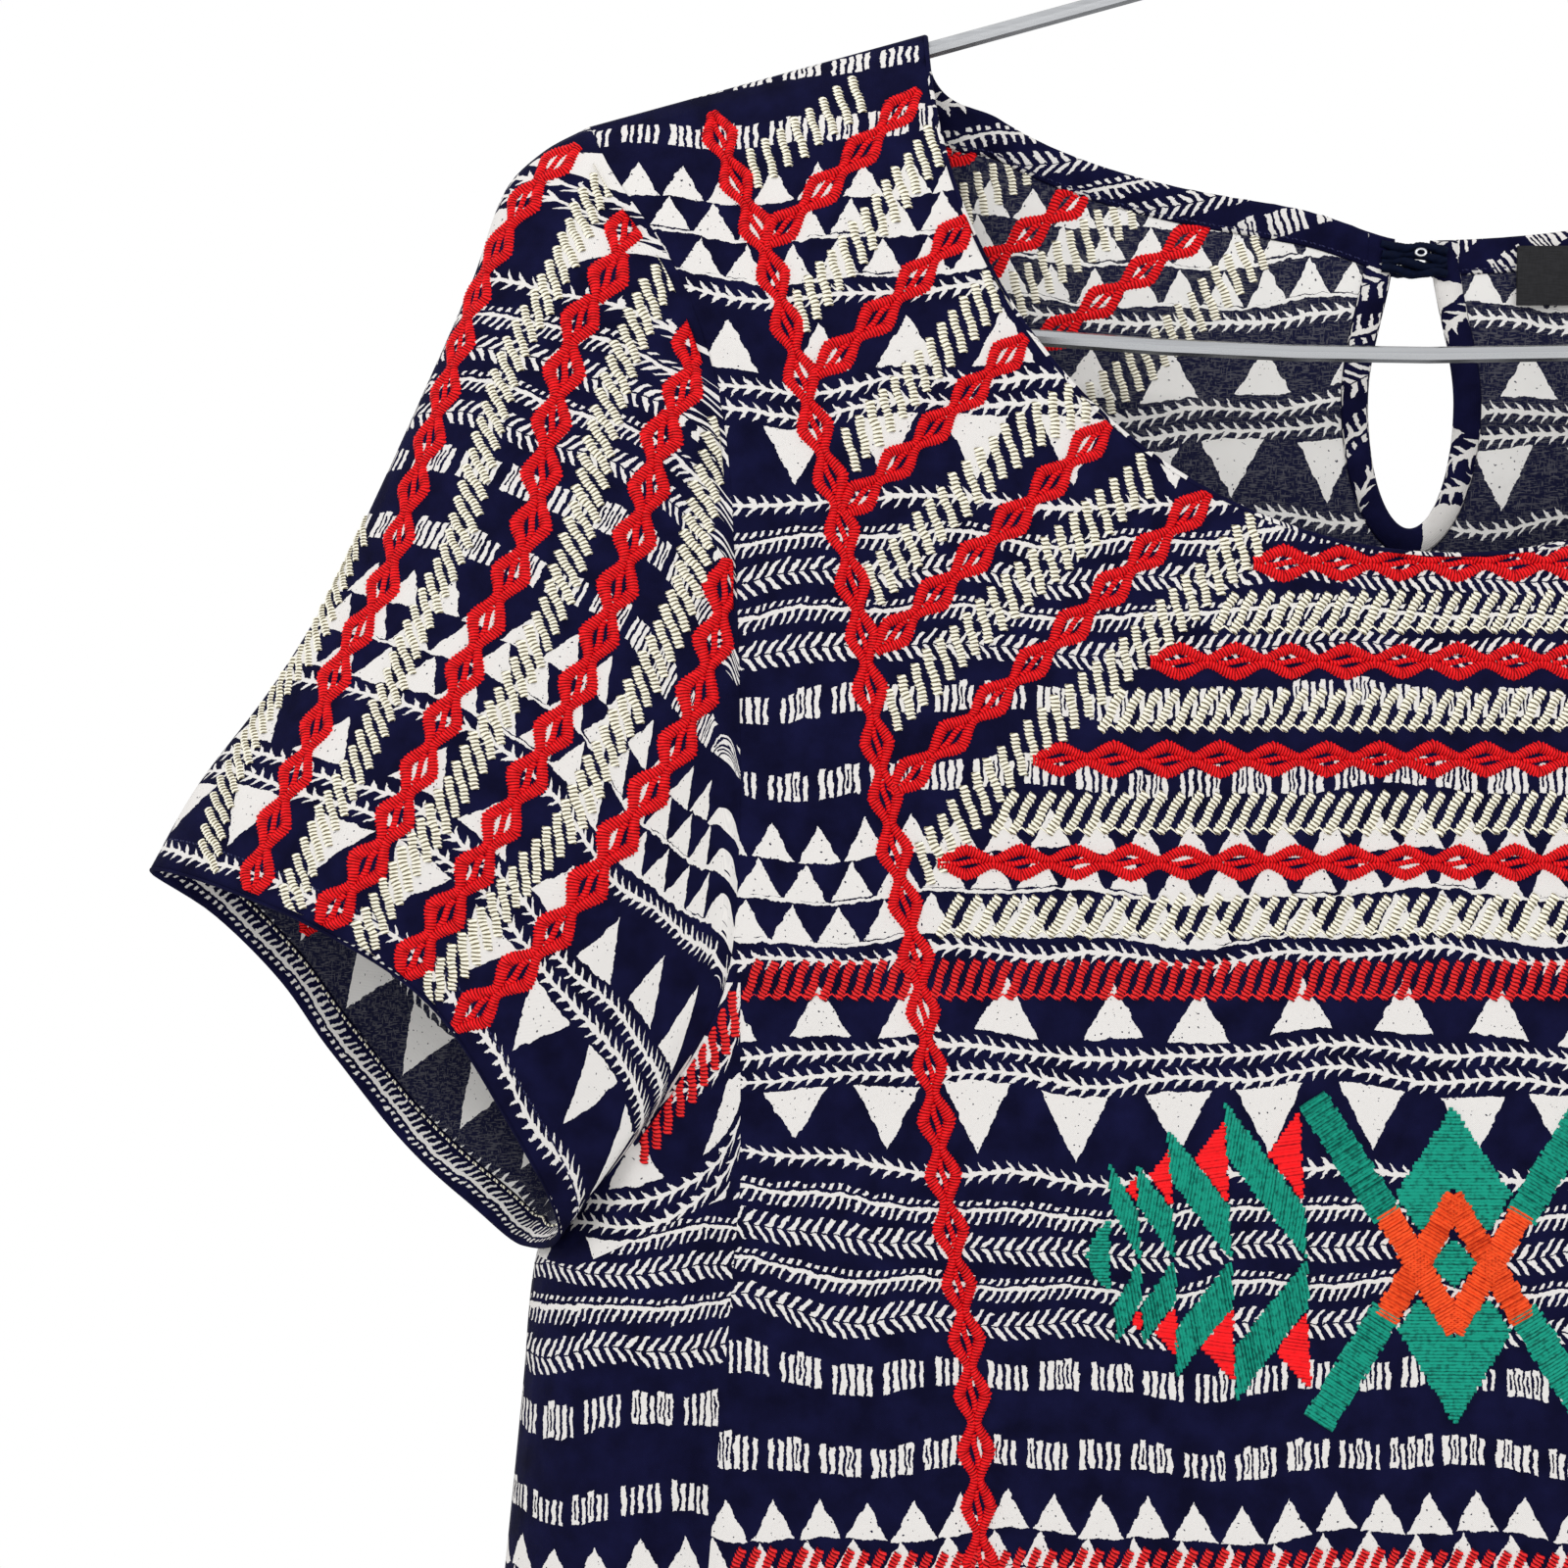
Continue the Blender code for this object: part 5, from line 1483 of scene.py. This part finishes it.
# Running stitches, in millimetres
RunningStitch = namedtuple("RunningStitch", "pitch length width")
BODY_HEM = RunningStitch(2.6, 1.9, 0.45)
SLEEVE_HEM_OUTSIDE = RunningStitch(2.4, 1.7, 0.45)
SLEEVE_HEM_INSIDE = RunningStitch(2.4, 1.5, 0.6)
FACING_EDGE = RunningStitch(2.4, 1.7, 0.4)


def running_stitches(name, node, line, stitch, material):
    """Small stitches along a line of points, each with its normal."""
    points, normals = line
    pitch, length, width = (size * MM for size in stitch)
    along = lengths(points)
    middles = np.arange(pitch, along[-1], pitch)
    a = sample(middles - length / 2, along, points)
    b = sample(middles + length / 2, along, points)
    normal = unit(sample(middles, along, normals))
    way = unit(b - a)
    across = np.cross(normal, way)
    template = strip(np.stack([np.linspace(-0.5, 0.5, 4) * length, np.zeros(4)], -1),
                     np.full(4, width / 2), np.array([0.1, 1, 1, 0.1]) * width * 0.6, LOW_PROFILE)
    blocks = ((a + b) / 2)[:, None] + sum(
        template.points[None, :, k:k + 1] * axis[:, None] for k, axis in enumerate((way, across, normal)))
    stitches = Stitches(name, material)
    stitches.add(blocks, template)
    return stitches.build(node)


def sleeve_line(sleeve, up, inside, lift):
    """A line round the sleeve at a height over its hem."""
    order = np.append(np.arange(len(sleeve.ts)), 0)
    points, normals = sleeve.at(sleeve.ts, 1 - up * MM / sleeve.to_hem[1])
    side = -1 if inside else 1
    return (points + normals * side * lift * MM)[order], normals[order] * side


def body_line(side, up):
    x = np.linspace(-0.272, 0.272, 500)
    points, normals = Body(side).at(x, np.full(500, HEM_Z + up * MM))
    return points + normals * CLOTH / 2, normals


def facing_line(out):
    gap = math.asin(KEYHOLE_TOP_HALF * 1.4 / NECK_HALF)
    spots = [neck_point(a, out * MM) for a in np.linspace(-math.pi + gap, math.pi - gap, 400)]
    points, normals = np.array([s[0] for s in spots]), -np.array([s[1] for s in spots])
    return points + normals * 1.15 * MM, normals


# A cord's seam: its depth as a share of the radius, and its width as an angle
SEAM_DENT, SEAM_WIDTH = 0.16, 0.35


def tube(name, line, radius, sides, material, twist=0.0):
    """A round cord along points of one level plane, with a seam that winds round it."""
    line, radius = np.asarray(line, float), np.asarray(radius, float)
    tangent = unit(np.gradient(line, axis=0))
    level = np.array([0.0, 1.0, 0.0])
    beside = unit(np.cross(tangent, level))
    along = lengths(line)
    rings, uvs = [], []
    for k in range(sides):
        angle = 2 * math.pi * k / sides + twist * along / MM
        from_seam = math.pi - abs(2 * math.pi * k / sides - math.pi)
        pressed = radius * (1 - SEAM_DENT * math.exp(-(from_seam / SEAM_WIDTH) ** 2))
        flat = beside * (np.cos(angle) * pressed)[:, None]
        rings.append(line + flat + level * (np.sin(angle) * pressed)[:, None])
        uvs.append(np.stack([along, np.full(len(along), k / sides * 0.008)], -1))
    points = np.stack(rings, 1).reshape(-1, 3)
    faces = grid_faces(len(line), sides, wrap=True)
    return make_mesh(name, points, faces, np.stack(uvs, 1).reshape(-1, 2), [material])


def build_wrap():
    """The thread wound round both ends of the neck's edge, which draws the closing together."""
    x = np.linspace(-KEYHOLE_TOP_HALF - 3.4 * MM, KEYHOLE_TOP_HALF + 3.4 * MM, 30)
    y = body_y(0.0, BACK_NECK_Z, BACK) - 1.6 * MM
    parts = []
    for k in range(4):
        middle = BACK_NECK_Z - (1.6 + 2.1 * k) * MM
        wander = (0.5 * np.sin(x / (2.1 * MM) + 1.7 * k) - 0.09 * x / MM) * MM
        thick = (1.2 + 0.12 * np.sin(x / (0.9 * MM) + k)) * MM
        line = np.stack([x, y + 0.5 * MM * np.sin(x / (1.9 * MM) + 2.4 * k), middle + wander], -1)
        parts.append(tube(f"closing_wrap_{k + 1}", line, thick, 10, ROULEAU, twist=0.7))
    return parts


def build_loop():
    """The rouleau that reaches over the keyhole and round the button's shank. It is thickest in the gap."""
    button_x, bend = KEYHOLE_TOP_HALF + 4.2 * MM, 2.4 * MM
    z = BACK_NECK_Z - 4.25 * MM
    stand = float(body_y(button_x, z, BACK)) + 2.2 * MM
    root = -KEYHOLE_TOP_HALF - 3.0 * MM
    x = np.linspace(root, button_x - 0.5 * MM, 24)
    thick = (1.1 + 0.55 * smooth((3.5 * MM - x) / (4 * MM)) + 0.1 * np.sin(x / (0.7 * MM))) * MM
    wander = 0.3 * MM * np.sin(x / (1.6 * MM))
    angles = np.linspace(math.pi / 2, -math.pi / 2, 15)
    line = [(a, stand, z + bend + w) for a, w in zip(x, wander)]
    line += [(button_x + bend * math.cos(a), stand, z + bend * math.sin(a)) for a in angles]
    line += [(a, stand, z - bend + w) for a, w in zip(x[::-1], wander[::-1])]
    radius = np.concatenate([thick, np.full(len(angles), 1.1 * MM), thick[::-1]])
    return tube("closing_loop", line, radius, 12, ROULEAU, twist=0.5)


cloth = [CLOTH_RIGHT, CLOTH_WRONG]
front_cloth = [CLOTH_FRONT_RIGHT, CLOTH_FRONT_WRONG]
left, right = Sleeve(-1), Sleeve(1)
sleeves = {"sleeve_left": left, "sleeve_right": right}
trims = {"front": embroider_front(), "back": embroider_back()}
for side, node in ((FRONT, "front"), (BACK, "back")):
    trims[node].append(running_stitches(f"{node}_hem_stitches", node, body_line(side, 20.0), BODY_HEM,
                                        NAVY_THREAD))
for node, sleeve in sleeves.items():
    trims[node] = embroider_sleeve(sleeve, node, left)
    band_piece = build_hem_band(f"{node}_hem_band", sleeve, CLOTH_RIGHT)
    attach(band_piece, "root")
    outer, inner = sleeve_line(sleeve, 8.3, False, 0.4), sleeve_line(sleeve, 8.0, True, 0.95)
    trims[node] += [
        band_piece,
        running_stitches(f"{node}_hem_stitches", node, outer, SLEEVE_HEM_OUTSIDE, NAVY_THREAD),
        running_stitches(f"{node}_hem_inside_stitches", node, inner, SLEEVE_HEM_INSIDE, CREAM),
    ]

pieces = [
    (build_body("front_cloth", FRONT, front_cloth), "front", (0.62, 0.89), 0.43),
    (build_body("back_cloth", BACK, cloth), "back", (0.62, 0.89), 0.45),
    (build_sleeve("sleeve_left_cloth", left, cloth), "sleeve_left", (0.42, 0.235), 0.056),
    (build_sleeve("sleeve_right_cloth", right, cloth), "sleeve_right", (0.42, 0.235), 0.056),
]
for obj, node, flat, area in pieces:
    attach(obj, "root")
    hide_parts(node)

neck = build_neck_facing(CLOTH_RIGHT)
neck_stitches = running_stitches("neck_facing_stitches", "neck_binding", facing_line(7.4), FACING_EDGE,
                                 NAVY_THREAD)
keyhole = build_keyhole_facing(CLOTH_RIGHT)
for obj, node, flat, trim in ((neck, "neck_binding", (0.72, 0.012), [neck_stitches]),
                              (keyhole, "keyhole_binding", (0.18, 0.010), [])):
    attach(obj, "root")
    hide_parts(node)
loop = build_loop()
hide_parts("button_loop")
angles = np.linspace(0, 2 * math.pi, 25)
ring_y = float(body_y(0.0, BACK_NECK_Z, BACK)) - 3.2 * MM
ring_line = [((1.4 + 1.25 * math.cos(a)) * MM, ring_y, BACK_NECK_Z + (0.85 * math.sin(a) - 3.2) * MM)
             for a in angles]
ring = tube("closing_ring", ring_line, np.full(len(angles), 0.4 * MM), 8, steel("small_ring"))
for obj in [loop, ring] + build_wrap():
    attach(obj, "root")

looks = {
    "hanger": steel("drawn_wire"),
    "neck_label": woven_label("black_label"),
    "button": plain_dark("dark_button", srgb(9, 10, 26), srgb(30, 32, 60), roughness=0.3, scale=500.0),
}
for node, look in looks.items():
    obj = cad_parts[node]
    for material_slot in obj.material_slots:
        material_slot.material = look

camera_data = bpy.data.cameras.new("camera")
camera_data.lens = LENS
camera_data.sensor_width = SENSOR
camera = bpy.data.objects.new("camera", camera_data)
bpy.context.scene.collection.objects.link(camera)
camera.location = CAMERA
camera.rotation_euler = (math.pi / 2, 0, 0)
bpy.context.scene.camera = camera
bpy.context.scene.view_settings.view_transform = "Standard"

world = bpy.data.worlds.new("studio")
bpy.context.scene.world = world
world.use_nodes = True
world.node_tree.nodes["Background"].inputs["Color"].default_value = (1, 1, 1, 1)
world.node_tree.nodes["Background"].inputs["Strength"].default_value = 1.0


def area_light(name, location, target, size, power):
    data = bpy.data.lights.new(name, "AREA")
    data.size = size
    data.energy = power
    obj = bpy.data.objects.new(name, data)
    obj.location = location
    aim = Vector(target) - Vector(location)
    obj.rotation_euler = aim.to_track_quat("-Z", "Y").to_euler()
    bpy.context.scene.collection.objects.link(obj)


area_light("key", (-0.7, -1.2, 0.9), (-0.1, 0, -0.4), size=0.5, power=10)
area_light("fill", (1.0, -1.2, -0.2), (0, 0, -0.4), size=1.0, power=2)

FLOOR_HALF, FLOOR_Z = 2.3, -1.35
corners = ((-1, -1), (1, -1), (1, 1), (-1, 1))
floor = make_mesh("floor", [(x * FLOOR_HALF, y * FLOOR_HALF, FLOOR_Z) for x, y in corners], [(0, 1, 2, 3)])
floor_material, floor_tree, floor_shader = new_material("pale_floor", roughness=0.9, specular=0.2)
speckle = object_noise(floor_tree, 60.0, detail=3.0)
floor_tree.links.new(mix(floor_tree, speckle, srgb(232, 232, 232), srgb(240, 240, 240)),
                     floor_shader.inputs["Base Color"])
floor.data.materials.append(floor_material)
